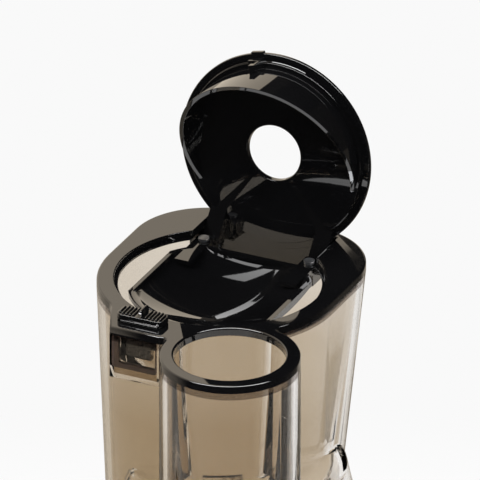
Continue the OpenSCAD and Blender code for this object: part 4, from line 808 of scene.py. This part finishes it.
def studioTone(tree, place, stops):
    # the studio's tone round the compass, and the compass angle itself
    facing = addNode(tree, "ShaderNodeMapping", {"Rotation": (0, 0, -math.radians(room["turn"]))},
                     {"Vector": place})
    parts = addNode(tree, "ShaderNodeSeparateXYZ", None, {0: facing.outputs["Vector"]})
    compass = addNode(tree, "ShaderNodeMath", {"operation": "ARCTAN2"},
                      {0: parts.outputs["X"], 1: parts.outputs["Y"]})
    share = addNode(tree, "ShaderNodeMapRange", {"From Min": -math.pi, "From Max": math.pi},
                    {"Value": compass.outputs[0]})
    tone = addNode(tree, "ShaderNodeValToRGB", None, {"Fac": share.outputs["Result"]})
    bright = fromHex(room["bright"])[:3]
    setStops(tone.color_ramp, [((angle + 180) / 360, [part * level for part in bright] + [1.0])
                               for angle, level in stops])
    return tone.outputs["Color"], compass.outputs[0]


def unlessGlossy(tree, plain, shine):
    # mirrored rays see the studio round the object, rays that come through rough glass count as plain
    path = addNode(tree, "ShaderNodeLightPath")
    mirrored = addNode(tree, "ShaderNodeMath", {"operation": "SUBTRACT", "use_clamp": True},
                       {0: path.outputs["Is Glossy Ray"], 1: path.outputs["Is Transmission Ray"]})
    return addNode(tree, "ShaderNodeMixShader", None, {0: mirrored.outputs[0], 1: plain, 2: shine})


deselectAll()
bpy.ops.mesh.primitive_plane_add(size=floor["size"] * mm, location=(0, 0, 0))
floorPlane = bpy.context.active_object
floorPlane.name = "studioFloor"
floorMaterial, tree = startMaterial("floorPaper")
path = addNode(tree, "ShaderNodeLightPath")
place = addNode(tree, "ShaderNodeTexCoord").outputs["Object"]
radius = addNode(tree, "ShaderNodeVectorMath", {"operation": "LENGTH"}, {0: place})
fade = addNode(tree, "ShaderNodeMapRange",
               {"From Min": floor["shadowNear"] * mm, "From Max": floor["shadowFar"] * mm},
               {"Value": radius.outputs["Value"]})
fromCamera = addNode(tree, "ShaderNodeMath", {"operation": "MULTIPLY"},
                     {0: path.outputs["Is Camera Ray"], 1: fade.outputs["Result"]})
seen = addNode(tree, "ShaderNodeMath", {"operation": "MAXIMUM"},
               {0: fromCamera.outputs[0], 1: path.outputs["Is Transmission Ray"]})
paper = addNode(tree, "ShaderNodeBsdfDiffuse", {"Color": fromHex(floor["colour"])})
glow = addNode(tree, "ShaderNodeEmission", {"Color": fromHex(floor["white"]), "Strength": 1.0})
plain = addNode(tree, "ShaderNodeMixShader", None,
                {0: seen.outputs[0], 1: paper.outputs[0], 2: glow.outputs[0]})
floorTone, compass = studioTone(tree, place, room["floorStops"])
shine = addNode(tree, "ShaderNodeEmission", {"Strength": 1.0}, {"Color": floorTone})
finishMaterial(tree, unlessGlossy(tree, plain.outputs[0], shine.outputs[0]))
floorPlane.data.materials.append(floorMaterial)

world = bpy.data.worlds.new("studio")
bpy.context.scene.world = world
world.use_nodes = True
tree = world.node_tree
tree.nodes.clear()
path = addNode(tree, "ShaderNodeLightPath")
seen = addNode(tree, "ShaderNodeMath", {"operation": "MAXIMUM"},
               {0: path.outputs["Is Camera Ray"], 1: path.outputs["Is Transmission Ray"]})
dim = addNode(tree, "ShaderNodeBackground", {"Color": fromHex("#ffffff"), "Strength": room["fill"]})
bright = addNode(tree, "ShaderNodeBackground", {"Color": fromHex(floor["white"]), "Strength": 1.0})
plain = addNode(tree, "ShaderNodeMixShader", None,
                {0: seen.outputs[0], 1: dim.outputs[0], 2: bright.outputs[0]})
place = addNode(tree, "ShaderNodeTexCoord").outputs["Generated"]
wallTone, compass = studioTone(tree, place, room["wallStops"])
upright = addNode(tree, "ShaderNodeSeparateXYZ", None, {0: place})
highFrom = math.sin(math.radians(room["highFrom"]))
below = addNode(tree, "ShaderNodeMath", {"operation": "LESS_THAN", 1: highFrom}, {0: upright.outputs["Z"]})
endFrom, endTo = [math.radians(angle) for angle in room["highEnd"]]
ending = addNode(tree, "ShaderNodeMapRange",
                 {"From Min": endFrom, "From Max": endTo, "To Min": 1.0, "To Max": room["dark"]},
                 {"Value": compass})
keep = addNode(tree, "ShaderNodeMath", {"operation": "MAXIMUM"},
               {0: ending.outputs["Result"], 1: below.outputs[0]})
shine = addNode(tree, "ShaderNodeBackground", None, {"Color": wallTone, "Strength": keep.outputs[0]})
addNode(tree, "ShaderNodeOutputWorld", None,
        {"Surface": unlessGlossy(tree, plain.outputs[0], shine.outputs[0]).outputs[0]})

# lamps: places and sizes in millimetres, power in watts
lamps = {
    "keyLamp": {"place": (-900, -500, 1450), "size": 420, "power": 14},
    "fillLamp": {"place": (1000, -600, 900), "size": 900, "power": 9},
    "topLamp": {"place": (100, 500, 1500), "size": 900, "power": 10},
}
lampAim = (0, 0, 420)
# a long strip overhead that only shows in gloss, for the fine lines along moulded edges
strip = {"place": (130, -270, 1900), "length": 2400, "width": 500, "power": 52}


def addLamp(name, look):
    data = bpy.data.lights.new(name, "AREA")
    data.energy = look["power"]
    lamp = bpy.data.objects.new(name, data)
    bpy.context.scene.collection.objects.link(lamp)
    lamp.location = [v * mm for v in look["place"]]
    return lamp


for lampName, look in lamps.items():
    lamp = addLamp(lampName, look)
    lamp.data.size = look["size"] * mm
    lamp.visible_glossy = False
    lamp.rotation_euler = (Vector(lampAim) * mm - lamp.location).to_track_quat("-Z", "Y").to_euler()
stripLamp = addLamp("stripLamp", strip)
stripLamp.data.shape = "RECTANGLE"
stripLamp.data.size = strip["length"] * mm
stripLamp.data.size_y = strip["width"] * mm
stripLamp.rotation_euler = (0, 0, math.radians(room["turn"]))
stripLamp.visible_diffuse = False
stripLamp.visible_transmission = False

# camera: the span is how wide the view is at the aim, in millimetres
view = {"azimuth": 25.5, "elevation": 27.0, "distance": 6000, "span": 187.1, "aim": (10.9, -20.07, 479.6),
        "sensor": 36, "clipEnd": 20000}
azimuth, elevation = math.radians(view["azimuth"]), math.radians(view["elevation"])
level = math.cos(elevation)
away = Vector((math.sin(azimuth) * level, -math.cos(azimuth) * level, math.sin(elevation)))
cameraData = bpy.data.cameras.new("camera")
cameraData.sensor_width = view["sensor"]
cameraData.lens = view["sensor"] * view["distance"] / view["span"]
cameraData.clip_end = view["clipEnd"] * mm
camera = bpy.data.objects.new("camera", cameraData)
bpy.context.scene.collection.objects.link(camera)
camera.location = Vector(view["aim"]) * mm + away * view["distance"] * mm
camera.rotation_euler = (-away).to_track_quat("-Z", "Y").to_euler()
bpy.context.scene.camera = camera
bpy.context.scene.view_settings.view_transform = "Standard"
print("scene: stage ready")
